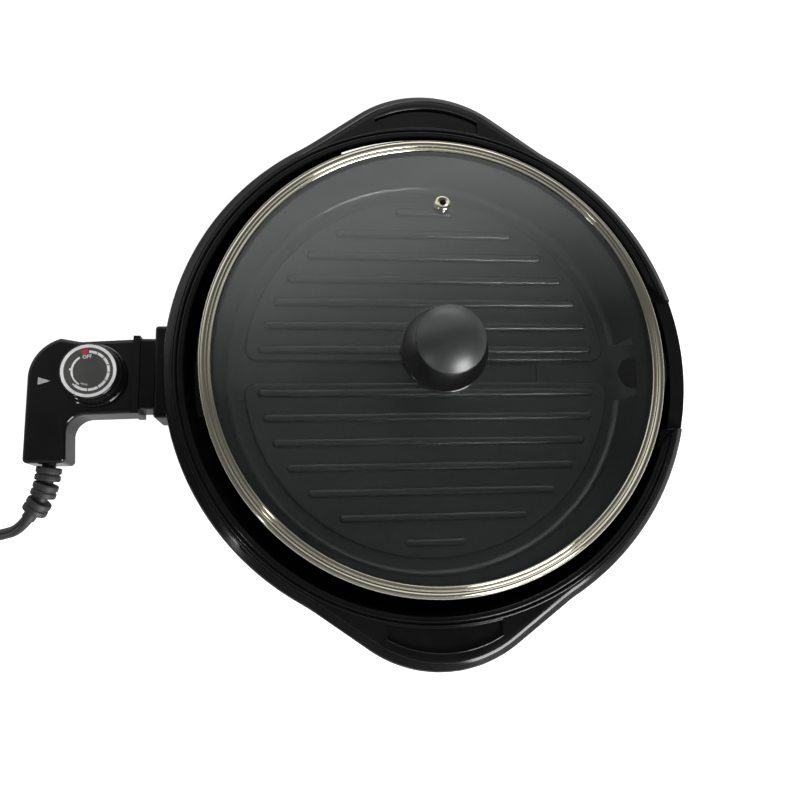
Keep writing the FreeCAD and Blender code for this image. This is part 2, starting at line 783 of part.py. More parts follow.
def base_shell():
    body = new_body("base_shell")
    rim_block(body)
    well = new_sketch(body, "rim_well", "XY_Plane", "rim_under - 1")
    ring_line(well, "0", "0", "rim_inner")
    pocket(body, well, "rim_top - rim_under + 2", up=True)
    soften(body, "1.2", lambda e: level(e, "rim_top") and e.BoundBox.XMax < value("rim_inner + 0.5"))
    shell = new_sketch(body, "shell_outline", "XZ_Plane")
    draw(shell, [
        ("0", "floor_under"),
        ("wall_foot - 7", "floor_under"),
        ("wall_foot + 0.2", "floor_under + 6.5", "7.2"),
        ("rim_inner + wall_thick", "rim_under + 1"),
        ("rim_inner + wall_thick", "rim_edge + 0.5"),
        ("rim_inner", "rim_edge + 0.5"),
        ("rim_inner", "rim_under + 1"),
        ("wall_foot + 0.2 - wall_thick", "floor_under + 7.5"),
        ("wall_foot - 8", "floor_under + floor_thick", "-4.8"),
        ("0", "floor_under + floor_thick"),
    ])
    turn(body, shell)
    trough = new_sketch(body, "rim_trough", "XZ_Plane")
    draw(trough, box_corners("rim_inner + wall_thick", "rim_under - 1", "rim_radius - wall_thick", "rim_edge + 0.5"))
    turn(body, trough, cut=True)
    bead = new_sketch(body, "rim_bead", "XZ_Plane")
    draw(bead, [("bead_line - 0.6", "rim_top + 0.1"), ("bead_line", "rim_top - 0.7"), ("bead_line + 0.6", "rim_top + 0.1")])
    turn(body, bead, cut=True)
    handle_hollows(body)
    tray_bay(body)
    socket_boss(body)
    base_posts(body)


def handle_hollows(body):
    crown, flank, _ = handle_points("3.5")
    edge = "sqrt((rim_inner + 7.5)^2 - (%s)^2)" % flank[0]
    rise = "(recess_outer - recess_bend)"
    for side, sign in (("back", ""), ("front", "-")):
        right, left = ("", "-") if sign == "" else ("-", "")
        hollow = new_sketch(body, f"handle_hollow_{side}", "XY_Plane", "rim_under - 1")
        draw(hollow, [
            (right + flank[0], f"{sign}({edge})"),
            (right + flank[0], sign + flank[1]),
            (right + crown[0], sign + crown[1]),
            (left + crown[0], sign + crown[1], "handle_crown - 3.5"),
            (left + flank[0], sign + flank[1]),
            (left + flank[0], f"{sign}({edge})"),
        ])
        pocket(body, hollow, "rim_edge + 0.5 - rim_under + 1", up=True)
        recess = new_sketch(body, f"handle_recess_{side}", "XY_Plane", "rim_top")
        inner = f"{sign}sqrt(recess_inner^2 - recess_half^2)"
        outer = f"{sign}({rise} + sqrt(recess_bend^2 - recess_half^2))"
        draw(recess, [
            (f"{right}recess_half", inner, "-recess_inner"),
            (f"{right}recess_half", outer),
            (f"{left}recess_half", outer, "recess_bend"),
            (f"{left}recess_half", inner),
        ])
        pocket(body, recess, "recess_depth")


def tray_bay(body):
    bay = new_sketch(body, "bay", "XY_Plane", "rim_top + 1")
    draw(bay, box_corners("cup_back + 8", "-bay_half", "rim_radius + 5", "bay_half"))
    pocket(body, bay, "rim_top + 1 - tray_low + 0.3")
    fill = new_sketch(body, "rim_end", "XY_Plane", "rim_under")
    draw(fill, [("154.3", "-bay_half"), ("149.8", "-bay_half - 14"), ("160.5", "-bay_half - 14"),
                ("168", "-bay_half")])
    ledge = pad(body, fill, "tray_top - rim_under")
    cheek = new_sketch(body, "bay_cheek", "XZ_Plane", "bay_half")
    draw(cheek, [("137", "floor_under + 1"), ("153.5", "floor_under + 1"), ("166", "rim_under + 0.5"),
                 ("144", "rim_under + 0.5")])
    first = pad(body, cheek, "wall_thick")
    rail = new_sketch(body, "bay_rail", "XY_Plane", "floor_under + 1")
    draw(rail, box_corners("cup_back - 4", "-cup_half - 4", "143", "-cup_half - 1"))
    second = pad(body, rail, "20")
    skid = new_sketch(body, "bay_skid", "XY_Plane", "floor_under + 1")
    draw(skid, box_corners("cup_back - 4", "-cup_half + 6", "143", "-cup_half + 9"))
    third = pad(body, skid, "tray_low - 0.3 - floor_under - 1")
    mirrored(body, [ledge, first, second, third])
    flare = new_sketch(body, "bay_flare", "XY_Plane", "rim_top + 1")
    draw(flare, [("146", "-bay_half - 16"), ("162.3", "-bay_half"), ("rim_radius + 5", "-bay_half"),
                 ("rim_radius + 5", "bay_half"), ("162.3", "bay_half"), ("146", "bay_half + 16")])
    pocket(body, flare, "rim_top + 1 - tray_top")


def socket_boss(body):
    boss = new_sketch(body, "socket_boss", "YZ_Plane", "-guard_back + 0.3")
    draw(boss, box_corners("-hood_half", "hood_low - 2", "hood_half", "hood_high"))
    pad(body, boss, "guard_back - 0.3 - bracket_x - 0.1")
    hole = new_sketch(body, "socket_hole", "YZ_Plane", "-guard_back - 4")
    draw(hole, box_corners("-22", "guard_low + 1.5", "22", "guard_high"))
    ring_line(hole, "26.5", "axis_level + 0.5", "bolt_radius - 0.3")
    ring_line(hole, "-26.5", "axis_level + 0.5", "bolt_radius - 0.3")
    pocket(body, hole, "18", up=True)


def base_posts(body):
    drawing = new_sketch(body, "posts", "XY_Plane", "floor_under + 1")
    for x, y in posts():
        ring_line(drawing, x, y, "post_radius")
    pad(body, drawing, "shield_level - floor_under - 1")
    bores = new_sketch(body, "post_bores", "XY_Plane", "floor_under - 1")
    heads = new_sketch(body, "post_heads", "XY_Plane", "floor_under - 1")
    stems = new_sketch(body, "foot_holes", "XY_Plane", "floor_under - 1")
    for x, y in posts():
        ring_line(bores, x, y, "bolt_radius + 0.1")
        ring_line(heads, x, y, "5.2")
        ring_line(stems, f"{x} * foot_circle / post_circle", f"{y} * foot_circle / post_circle", "foot_stem")
    pocket(body, bores, "shield_level", up=True)
    pocket(body, heads, "8", up=True)
    pocket(body, stems, "floor_thick + 2", up=True)
    slot = new_sketch(body, "vent_slot", "XY_Plane", "floor_under - 1")
    draw(slot, box_corners("-32", "-42", "32", "-37"))
    first = pocket(body, slot, "floor_thick + 2", up=True)
    along(body, [first], "79", 7)


def base_fixings():
    up = Vector(0, 0, 1)
    fixings("pan_screws", [(x, y, "floor_under + 3.2") for x, y in posts()], up, "4.8", "3.8", "bolt_radius", "26")
    parts = []
    for index, (x, y) in enumerate(posts()):
        x = f"{x} * foot_circle / post_circle"
        y = f"{y} * foot_circle / post_circle"
        parts.append(cylinder(f"foot_pad_{index}", "foot_radius", "floor_under", up, x, y, "0"))
        parts.append(cylinder(f"foot_peg_{index}", "foot_stem", "floor_under + 4.2", up, x, y, "0"))
        parts.append(cylinder(f"foot_bulb_{index}", "foot_stem + 1", "1.4", up, x, y, "floor_under + floor_thick"))
    fused("rubber_feet", parts)
    fixings("guard_screws", [("-144.6", "26.5", "axis_level + 0.5"), ("-144.6", "-26.5", "axis_level + 0.5")],
            Vector(-1, 0, 0), "4", "bracket_x - bracket_thick - 144.6", "bolt_radius - 0.3", "29")


def drip_tray():
    body = new_body("drip_tray")
    front = new_sketch(body, "front_outline", "XZ_Plane")
    draw(front, [
        ("tray_foot", "tray_low"),
        ("rim_radius - 0.2", "tray_top - 3"),
        ("rim_radius - 0.2", "tray_top - 1"),
        ("rim_radius - 1.2", "tray_top", "1"),
        ("tray_lip", "tray_top"),
        ("tray_lip", "tray_top - 3"),
        ("rim_radius - 3.9", "tray_top - 3"),
        ("tray_foot - 3.2", "tray_low"),
    ])
    turn(body, front)
    for name, low_x, low_y, high_x, high_y in (
            ("trim_left", "-tray_foot - 20", "-tray_foot - 20", "100", "tray_foot + 20"),
            ("trim_low", "90", "-tray_foot - 20", "tray_foot + 20", "-tray_half"),
            ("trim_high", "90", "tray_half", "tray_foot + 20", "tray_foot + 20")):
        drawing = new_sketch(body, name, "XY_Plane", "tray_low - 1")
        draw(drawing, box_corners(low_x, low_y, high_x, high_y))
        pocket(body, drawing, "60", up=True)
    for name, inset, low, high in (("cup_block", "0", "tray_low", "cup_high"),
                                   ("cup_hollow", "cup_wall", "tray_low + cup_wall", "cup_high + 1")):
        half = f"(cup_half - {inset})"
        bend = f"(tray_foot - 1.5 - {inset})"
        side = f"sqrt({bend}^2 - {half}^2)"
        drawing = new_sketch(body, name, "XY_Plane", low)
        draw(drawing, [(f"cup_back + {inset}", f"-{half}"), (side, f"-{half}"), (side, half, bend),
                       (f"cup_back + {inset}", half)])
        if inset == "0":
            pad(body, drawing, f"{high} - ({low})")
        else:
            pocket(body, drawing, f"{high} - ({low})", up=True)


def socket_guard():
    body = new_body("socket_guard")
    sleeve = new_sketch(body, "sleeve", "YZ_Plane", "-guard_face")
    draw(sleeve, box_corners("-guard_half", "guard_low", "guard_half", "guard_high"))
    pad(body, sleeve, "guard_face - guard_step + 1")
    hood = new_sketch(body, "hood", "YZ_Plane", "-guard_step")
    draw(hood, box_corners("-hood_half", "hood_low", "hood_half", "hood_high"))
    pad(body, hood, "guard_step - guard_back")
    soften(body, "2.5", lambda e: e.BoundBox.YLength < 0.01 and e.BoundBox.ZLength < 0.01)
    soften(body, "2", lambda e: e.BoundBox.XLength < 0.01 and abs(e.BoundBox.XMin + value("guard_step")) < 0.01
           and max(abs(e.BoundBox.YMin), abs(e.BoundBox.YMax)) > value("guard_half + 2"))
    bore = new_sketch(body, "sleeve_bore", "YZ_Plane", "-guard_face - 1")
    draw(bore, box_corners("-guard_half + guard_wall", "guard_low + guard_wall", "guard_half - guard_wall",
                           "guard_high - guard_wall"))
    pocket(body, bore, "60", up=True)
    for name, low, high in (("hood_left", "-hood_half + guard_wall", "-hood_half + guard_wall + 8"),
                            ("hood_right", "hood_half - guard_wall - 8", "hood_half - guard_wall")):
        for end, bottom, top in (("under", "hood_low + guard_wall", "axis_level - 5"),
                                 ("over", "axis_level + 6", "hood_high - guard_wall")):
            drawing = new_sketch(body, f"{name}_{end}", "YZ_Plane", "-guard_back + 1")
            draw(drawing, box_corners(low, bottom, high, top))
            pocket(body, drawing, "guard_step - guard_back - guard_wall + 1")
    holes = new_sketch(body, "guard_holes", "YZ_Plane", "-guard_back + 1")
    for side in ("", "-"):
        ring_line(holes, f"{side}26.5", "axis_level + 0.5", "bolt_radius - 0.3")
    pocket(body, holes, "14.2")


PROBE_OUTLINE = [
    ("-guard_face - 3", "-26.5"), ("-guard_face - 3", "23.8"), ("-232", "21.9"), ("-245", "24.2"),
    ("-probe_left", "-1.8", "28"), ("-probe_left", "-55.6"), ("-probe_left + 3", "-58.6", "3"), ("-241.2", "-58.6"),
    ("-238.2", "-55.6", "3"), ("-238.9", "-38.9"), ("-228", "-27.4", "-12"),
]
COLUMNS = (("-204.5", "18"), ("-204.5", "-20.6"), ("-258.6", "-28"))


def probe_half(label, top):
    """One half of the clamshell: the arm, its leg, the flange and the nose."""
    body = new_body(label)
    low, high = ("probe_split", "probe_high") if top else ("probe_low", "probe_split")
    outline = new_sketch(body, label + "_outline", "XY_Plane", "probe_split")
    draw(outline, PROBE_OUTLINE)
    pad(body, outline, f"{high} - {low}", down=not top)
    rim = "probe_high" if top else "probe_low"
    soften(body, "3" if top else "2", lambda e: level(e, rim) and min(p.x for p in ends_of(e)) < -197)
    flange = new_sketch(body, label + "_flange", "XY_Plane", "probe_split")
    draw(flange, box_corners("-guard_face - 4.7", "-27", "-guard_face - 0.3", "25.5"))
    pad(body, flange, "probe_high + 1 - probe_split" if top else "probe_split - probe_low + 1", down=not top)
    nose = new_sketch(body, label + "_nose", "XY_Plane", "probe_split")
    draw(nose, box_corners("-guard_face - 1", "-nose_half", "-nose_tip", "nose_half"))
    pad(body, nose, "nose_high - probe_split" if top else "probe_split - nose_low", down=not top)
    hollow = new_sketch(body, label + "_hollow", "XY_Plane", "probe_split")
    inside = [("-guard_face - 4.7 - 0.01", "-26.5 + probe_wall"), ("-guard_face - 4.7 - 0.01", "23.8 - probe_wall"),
              ("-232", "21.9 - probe_wall"), ("-245", "24.2 - probe_wall"),
              ("-probe_left + probe_wall", "-1.8", "28 - probe_wall"),
              ("-probe_left + probe_wall", "-58.6 + probe_wall"),
              ("-238.9 - probe_wall", "-58.6 + probe_wall"),
              ("-238.9 - probe_wall", "-38.9"),
              ("-228", "-27.4 + probe_wall", "-12 - probe_wall")]
    draw(hollow, inside)
    depth = f"{high} - {low} - probe_wall"
    pocket(body, hollow, depth, up=top)
    throat = new_sketch(body, label + "_throat", "XY_Plane", "probe_split")
    draw(throat, box_corners("-guard_face - 6", "-nose_half + 2", "-nose_tip - 2", "nose_half - 2"))
    pocket(body, throat, "nose_high - probe_split - 2" if top else "probe_split - nose_low - 2", up=top)
    holes = new_sketch(body, label + "_terminals", "YZ_Plane", "-nose_tip + 1")
    ring_line(holes, "leg_offset", "axis_level", "pin_radius + 0.5")
    ring_line(holes, "-leg_offset", "axis_level", "pin_radius + 0.5")
    ring_line(holes, "0", "axis_level", "rod_radius")
    pocket(body, holes, "4")
    columns = new_sketch(body, label + "_columns", "XY_Plane", "probe_split + 0.1" if top else "probe_split - 0.1")
    bores = new_sketch(body, label + "_bores", "XY_Plane", "probe_split" if top else "probe_low - 1")
    for x, y in COLUMNS:
        ring_line(columns, x, y, "3")
        ring_line(bores, x, y, "1.3")
    pad(body, columns, f"{high} - {low} - probe_wall + 0.4", down=not top)
    pocket(body, bores, "8" if top else "20", up=True)
    if not top:
        heads = new_sketch(body, "head_seats", "XY_Plane", "probe_low - 1")
        for x, y in COLUMNS:
            ring_line(heads, x, y, "2.4")
        pocket(body, heads, "3", up=True)
    mouth = new_sketch(body, label + "_mouth", "XZ_Plane", "50")
    ring_line(mouth, "-251", "axis_level", "4.5")
    pocket(body, mouth, "10", up=True)
    return body


def probe_shells():
    top = probe_half("probe_top_shell", True)
    hole = new_sketch(top, "dial_hole", "XY_Plane", "probe_high + 1")
    ring_line(hole, "-dial_x", "dial_y", "shaft_radius + 0.6")
    pocket(top, hole, "6")
    probe_half("probe_bottom_shell", False)
    fixings("probe_screws", [(x, y, "probe_low + 0.4") for x, y in COLUMNS], Vector(0, 0, 1), "2.3", "1.5", "1.25", "20")
    arrow = [("-257.3", "-7.6"), ("-249.8", "-5.1"), ("-257.3", "-2.6")]
    pointer = new_body("dial_pointer")
    mark = new_sketch(pointer, "pointer_mark", "XY_Plane", "probe_high - 0.3")
    draw(mark, arrow)
    pad(pointer, mark, "0.7")
    seat = new_sketch(top, "pointer_seat", "XY_Plane", "probe_high")
    draw(seat, arrow)
    pocket(top, seat, "0.3")


def dial():
    body = spin("dial", [
        ("0", "dial_low + 8"),
        ("dial_top - 3", "dial_low + 8"),
        ("dial_top - 3", "dial_low"),
        ("dial_flange", "dial_low"),
        ("dial_flange", "dial_low + 1.6"),
        ("dial_flange - 0.8", "dial_low + 2.2"),
        ("dial_top + 1.4", "dial_low + 2.2"),
        ("dial_top + 1", "dial_face - 6.2"),
        ("dial_top + 0.4", "dial_face - 5.8"),
        ("dial_top + 0.1", "dial_face - 1"),
        ("dial_top - 0.9", "dial_face", "1"),
        ("disc_radius - 0.6", "dial_face"),
        ("disc_radius - 0.6", "dial_face - disc_thick"),
        ("0", "dial_face - disc_thick"),
    ], "-dial_x", "dial_y")
    bore = new_sketch(body, "dial_bore", "XY_Plane", "dial_low + 7")
    ring_line(bore, "0", "0", "shaft_radius")
    pocket(body, bore, "4", up=True)
    knurl = new_sketch(body, "knurl", "XY_Plane", "dial_face - 1.6")
    ring_line(knurl, "dial_top + 1.5", "0", "0.75")
    groove = pocket(body, knurl, "dial_face - 1.6 - dial_low - 2.8")
    around(body, [groove], 48)
    disc = new_body("dial_disc", "-dial_x", "dial_y", "dial_face - disc_thick")
    face = new_sketch(disc, "disc_face")
    ring_line(face, "0", "0", "disc_radius - 0.6")
    pad(disc, face, "disc_thick")
    shaft = new_body("dial_shaft", "-dial_x", "dial_y")
    stem = new_sketch(shaft, "stem", "XY_Plane", "axis_level + 1")
    ring_line(stem, "0", "0", "shaft_radius")
    pad(shaft, stem, "dial_low + 10.9 - axis_level - 1")
    bush = new_body("shaft_bush", "-dial_x", "dial_y")
    sleeve = new_sketch(bush, "bush_sleeve", "XY_Plane", "axis_level + 2")
    ring_line(sleeve, "0", "0", "5.5")
    ring_line(sleeve, "0", "0", "shaft_radius + 0.05")
    pad(bush, sleeve, "probe_high - probe_wall - axis_level - 2")


def thermostat():
    """The works inside the probe's arm and leg."""
    ahead = Vector(1, 0, 0)
    rod = cylinder("sensing_rod", "rod_radius", "196 - rod_tip", ahead, "-196", "0", "axis_level")
    pieces.append(rod)
    sleeves = []
    for index, side in enumerate(("", "-")):
        spot = ("-190", f"{side}leg_offset", "axis_level")
        outer = cylinder(f"contact_outer_{index}", "pin_radius + 1.4", "190 - nose_tip - 2.6", ahead, *spot)
        inner = cylinder(f"contact_bore_{index}", "pin_radius + 0.3", "190 - nose_tip - 5", ahead, "-187.6", *spot[1:])
        sleeves.append(cut(f"contact_sleeve_{index}", outer, inner))
    joined("female_contacts", sleeves)
    body = new_body("contact_block")
    core = new_sketch(body, "block_core", "YZ_Plane", "-188")
    draw(core, box_corners("-nose_half + 2.2", "nose_low + 2.2", "nose_half - 2.2", "nose_high - 2.2"))
    for side in ("", "-"):
        ring_line(core, f"{side}leg_offset", "axis_level", "pin_radius + 1.4")
    ring_line(core, "0", "axis_level", "rod_radius")
    pad(body, core, "12")
    frame = new_body("thermostat_frame")
    plate = new_sketch(frame, "frame_plate", "XY_Plane", "axis_level + 0.8")
    draw(plate, box_corners("-242", "-14", "-202.4", "14"))
    ring_line(plate, "-dial_x", "dial_y", "shaft_radius + 0.4")
    pad(frame, plate, "1.2")
    leg = new_sketch(frame, "frame_leg", "XZ_Plane", "-12.8")
    draw(leg, box_corners("-242", "probe_low + probe_wall + 0.1", "-236", "axis_level + 1"))
    side = pad(frame, leg, "1.2", down=True)
    mirrored(frame, [side])
    rear = new_sketch(frame, "frame_rear", "YZ_Plane", "-242")
    draw(rear, box_corners("-6", "axis_level - 9.4", "6", "axis_level + 1"))
    pad(frame, rear, "1.2")
    for label, start, low in (("bimetal_blade", "-240.8", "axis_level - 4.4"),
                              ("contact_blade", "-240.8", "axis_level - 8.4")):
        blade = new_body(label)
        strip = new_sketch(blade, label + "_strip", "XY_Plane", low)
        draw(strip, box_corners(start, "-4", "-206", "4"))
        pad(blade, strip, "0.8")
        tip = new_sketch(blade, label + "_tip", "XY_Plane", low)
        ring_line(tip, "-210", "0", "2")
        pad(blade, tip, "1.9", down=(label == "bimetal_blade"))
    clamp = new_body("cord_clamp")
    bar = new_sketch(clamp, "clamp_bar", "YZ_Plane", "-261.6")
    draw(bar, box_corners("-50", "axis_level + 3.8", "-44", "axis_level + 6.6"))
    pad(clamp, bar, "20")
    eyes = new_sketch(clamp, "clamp_eyes", "XY_Plane", "axis_level")
    ring_line(eyes, "-259.2", "-47", "1.3")
    ring_line(eyes, "-244", "-47", "1.3")
    pocket(clamp, eyes, "10", up=True)
    down = Vector(0, 0, -1)
    lugs = [("-259.2", "-47", "axis_level + 8.4"), ("-244", "-47", "axis_level + 8.4")]
    fixings("cord_clamp_screws", lugs, down, "2.2", "1.8", "1.2", "19")
    wires = []
    for index, side in enumerate(("", "-")):
        wires.append(cylinder(f"wire_{index}", "1.1", "12", Vector(-1, 0, 0), "-190", f"{side}leg_offset", "axis_level"))
    joined("terminal_tails", wires)
    lead = cylinder("inner_lead", "cord_radius", "16.5", Vector(0, -1, 0), "-251", "-36", "axis_level")
    pieces.append(lead)


def relief_disc(label, way, x, y, z):
    """Half of a collar, a short cylinder with both edges rounded."""
    core = cylinder(label + "_core", "8", "4.2", way, x, y, z)
    doc.recompute()
    item = doc.addObject("Part::Fillet", label)
    item.Base = core
    item.Edges = [(index, 1.2, 1.2) for index, edge in enumerate(core.Shape.Edges, start=1) if edge.isClosed()]
    return item


def strain_relief():
    """Three collars, each of two discs, on a flexible stem that leans toward the cord."""
    spots = [Vector(-251, -53, 29), Vector(-251, -58.2, 29), Vector(-251.3, -64.7, 28.8),
             Vector(-253.4, -74.9, 27.7), Vector(-258.2, -85.3, 25.5), Vector(-264.2, -92.6, 22.9)]
    parts = []
    for index in range(len(spots) - 1):
        step = spots[index + 1] - spots[index]
        start = spots[index]
        parts.append(cylinder(f"relief_stem_{index}", "4.3", f"{step.Length:.3f}", step,
                              f"{start.x}", f"{start.y}", f"{start.z}"))
    lip = cylinder("relief_lip", "6.5", "1.6", Vector(0, -1, 0), "-251", "-52.6", "29")
    parts.append(lip)
    for index in (2, 3, 4):
        way = (spots[index + 1] - spots[index - 1]).normalize()
        base = spots[index] - way * 4
        parts.append(cylinder(f"relief_core_{index}", "7.1", "8", way, f"{base.x:.3f}", f"{base.y:.3f}",
                              f"{base.z:.3f}"))
        for half in (0, 1):
            base = spots[index] - way * (4.5 - 4.8 * half)
            parts.append(relief_disc(f"relief_disc_{index}_{half}", way, f"{base.x:.3f}", f"{base.y:.3f}",
                                     f"{base.z:.3f}"))
    fused("strain_relief", parts)
    return spots[-1], (spots[-1] - spots[-2]).normalize()


def bent_line(points):
    """Straight runs joined by tangent arcs, each as large as its two runs allow."""
    edges, here, radii = [], points[0], []
    for before, corner, after in zip(points, points[1:], points[2:]):
        back = (before - corner).normalize()
        ahead = (after - corner).normalize()
        angle = math.pi - back.getAngle(ahead)
        reach = 0.45 * min((before - corner).Length, (after - corner).Length)
        radius = reach / math.tan(angle / 2)
        start, end = corner + back * reach, corner + ahead * reach
        inward = (back + ahead).normalize()
        middle = corner + inward * (math.hypot(reach, radius) - radius)
        edges.append(Part.LineSegment(here, start).toShape())
        edges.append(Part.Arc(start, middle, end).toShape())
        radii.append(radius)
        here = end
    edges.append(Part.LineSegment(here, points[-1]).toShape())
    return edges, radii


def tube(label, edges, radius):
    """A round tube along joined edges, as a node of its own."""
    path = Part.Wire(edges)
    first = edges[0]
    start = first.valueAt(first.FirstParameter)
    section = Part.Wire(Part.Circle(start, first.tangentAt(first.FirstParameter), radius).toShape())
    item = doc.addObject("Part::Feature", label)
    item.Shape = path.makePipeShell([section], True, False)
    print(f"{label}: length {path.Length:.1f}, volume over section and length "
          f"{item.Shape.Volume / (math.pi * radius ** 2 * path.Length):.4f}")
    place(item)
    return path


def coil_edges():
    """Half turns inward on the table, one that climbs, and half turns outward on top."""
    x, y, step = value("coil_x"), value("coil_y"), value("coil_step")
    outer, low, rise = value("coil_outer"), value("coil_low"), value("coil_rise")

    def bend(centre_x, radius, start, sweep, height):
        spots = []
        for share in (0, 0.5, 1):
            turn_at = math.radians(start + sweep * share)
            spots.append(Vector(centre_x + radius * math.cos(turn_at), y + radius * math.sin(turn_at), height))
        return Part.Arc(*spots).toShape()

    lead = 2 * value("cord_radius")
    edges = [Part.LineSegment(Vector(x + lead, y + outer, low), Vector(x, y + outer, low)).toShape()]
    edges.append(bend(x, outer, 90, 90, low))
    edges.append(bend(x - step, outer - step, 180, 180, low))
    edges.append(bend(x, outer - 2 * step, 0, 180, low))
    edges.append(bend(x - step, outer - 3 * step, 180, 180, low))
    inner = outer - 4 * step
    slant = math.hypot(inner, rise / 2)
    middle = Vector(x, y, low + rise / 2)
    lean = Vector(-inner, 0, rise / 2) * (1 / slant)
    across = Vector(0, 1, 0)
    for first in (0, 90):
        spots = []
        for share in (0, 45, 90):
            turn_at = math.radians(first + share)
            spots.append(middle - lean * (slant * math.cos(turn_at)) + across * (slant * math.sin(turn_at)))
        edges.append(Part.Arc(*spots).toShape())
    high = low + rise
    edges.append(bend(x + step, outer - 3 * step, 180, 180, high))
    edges.append(bend(x, outer - 2 * step, 0, 180, high))
    edges.append(bend(x + step, outer - step, 180, 180, high))
    edges.append(bend(x, outer, 0, 90, high))
    edges.append(Part.LineSegment(Vector(x, y + outer, high), Vector(x - lead, y + outer, high)).toShape())
    return edges


def least_gap(edges, radius):
    """Least clear distance between the coil's turns, measured on points along its line."""
    spots = Part.Wire(edges).discretize(Number=900)
    pitch = (spots[1] - spots[0]).Length
    skip = int(4 * math.pi * radius / pitch)
    return min((spots[i] - spots[k]).Length for i in range(len(spots)) for k in range(i + skip, len(spots))) - 2 * radius


def mains_lead(start, way):
    """The lead from the relief down to the table and along to the coil."""
    radius = value("cord_radius")
    entry = Vector(value("coil_x") + 2 * radius, value("coil_y") + value("coil_outer"), value("coil_low"))
    points = [start, start + way * 10, Vector(-283, -102.6, 15.2), Vector(-299, -105.5, 9.2), Vector(-318, -112.2, 5.4),
              Vector(-335, -120.2, 4.8), Vector(-352, -125, 4.8), entry]
    edges, radii = bent_line(points)
    print("lead radii: " + ", ".join(f"{item:.1f}" for item in radii))
    lead = tube("mains_cord", edges, radius)
    coil = coil_edges()
    wound = tube("cord_coil", coil, radius)
    print(f"least gap in the coil {least_gap(coil, radius):.2f}")
    first = Vector(value("coil_x") - 2 * radius, entry.y, value("coil_low + coil_rise"))
    last = tube("plug_lead", [Part.LineSegment(first, first - Vector(34, 0, 0)).toShape()], radius)
    print(f"cord outside the probe {lead.Length + wound.Length + last.Length:.0f} mm long")


def coil_tie():
    body = new_body("cord_tie", "coil_x", "coil_y")
    band = new_sketch(body, "tie_band", "YZ_Plane", "-5")
    draw(band, box_corners("-coil_outer - 1", "0", "-coil_outer + 17.8", "coil_low + coil_rise + cord_radius + 1.3"))
    draw(band, box_corners("-coil_outer", "tie_sheet", "-coil_outer + 16.8", "coil_low + coil_rise + cord_radius + 0.3"))
    pad(body, band, "10")


def plug():
    axis = "coil_low + coil_rise"
    start = "coil_x - 2 * cord_radius - 34"
    body = new_body("plug_body", start, "coil_y + coil_outer", axis)
    steps = (("plug_neck", "0", "17", "5.6", None), ("plug_grip", "16", "26", "9", "7.5"), ("plug_head", "41", "12", "13", "11.5"))
    for name, begin, long, half_y, half_z in steps:
        drawing = new_sketch(body, name, "YZ_Plane", f"-{begin}")
        if half_z is None:
            ring_line(drawing, "0", "0", half_y)
        else:
            draw(drawing, box_corners(f"-{half_y}", f"-{half_z}", half_y, half_z))
        pad(body, drawing, long, down=True)
    soften(body, "2", lambda e: e.BoundBox.YLength < 0.01 and e.BoundBox.ZLength < 0.01)
    blades = []
    for index, side in enumerate(("+ 6.35 - 0.75", "- 6.35 - 0.75")):
        low = f"coil_y + coil_outer {side}"
        blades.append(block(f"blade_{index}", (f"{start} - 70", low, f"{axis} - 3.15"),
                            (f"{start} - 53", f"{low} + 1.5", f"{axis} + 3.15")))
    joined("plug_pins", blades)


lid_glass()
lid_ring()
vent_eyelet()
lid_knob()
knob_collar()
knob_fixing()
heating_element()
grill_pan()
drain_spout()
grill_plate()
heating_parts()
heat_shield()
base_shell()
base_fixings()
drip_tray()
socket_guard()
probe_shells()
dial()
thermostat()
mains_lead(*strain_relief())
coil_tie()
plug()


doc.recompute()
for item in doc.Objects:
    if "Invalid" in item.State or "Error" in item.State:
        raise RuntimeError(f"{item.Name} failed: {item.State}")
for piece in pieces:
    if piece.Shape.isNull() or not piece.Shape.isValid():
        raise RuntimeError(f"{piece.Label} has no good shape")
for piece in pieces:
    piece.Shape.exportStep(f"parts/{piece.Label}.step")
    box = piece.Shape.BoundBox
    print(f"{piece.Label}: {len(piece.Shape.Solids)} solid, {piece.Shape.Volume / 1000:.2f} cm3, "
          f"x {box.XMin:.1f} to {box.XMax:.1f}, y {box.YMin:.1f} to {box.YMax:.1f}, z {box.ZMin:.1f} to {box.ZMax:.1f}")
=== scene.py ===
import math
import bpy
from mathutils import Euler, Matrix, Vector


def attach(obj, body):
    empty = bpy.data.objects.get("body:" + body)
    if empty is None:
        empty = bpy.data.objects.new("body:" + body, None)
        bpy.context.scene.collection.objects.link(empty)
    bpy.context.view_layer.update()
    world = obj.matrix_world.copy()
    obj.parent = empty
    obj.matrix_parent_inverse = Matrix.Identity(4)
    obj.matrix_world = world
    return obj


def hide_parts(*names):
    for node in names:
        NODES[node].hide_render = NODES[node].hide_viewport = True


bl_info = {
    "name": "Electric Skillet",
    "version": (1, 0, 0),
    "blender": (4, 5, 0),
    "location": "3D View > Sidebar > Skillet",
    "description": "Dresses an electric grill skillet with its glass lid, thermostat probe, cord and studio",
    "category": "Object",
}

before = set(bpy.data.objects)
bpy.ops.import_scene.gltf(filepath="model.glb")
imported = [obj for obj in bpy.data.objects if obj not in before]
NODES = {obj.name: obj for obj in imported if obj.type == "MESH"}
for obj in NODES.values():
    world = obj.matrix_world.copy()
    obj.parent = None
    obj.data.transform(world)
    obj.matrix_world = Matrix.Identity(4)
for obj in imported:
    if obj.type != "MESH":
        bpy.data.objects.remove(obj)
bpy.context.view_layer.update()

# The pan's middle, and the dial's, in the frame of the whole appliance.
PAN = Vector((0.04525, 0, 0))
DIAL = Vector((-0.17675, -0.0017, 0))
MM = 0.001
# In millimetres: the height of the rim's flat top, half a handle recess's width and the dial face's height.
RIM_TOP = 70.42
RECESS_HALF = 36
DIAL_TOP = 55.5


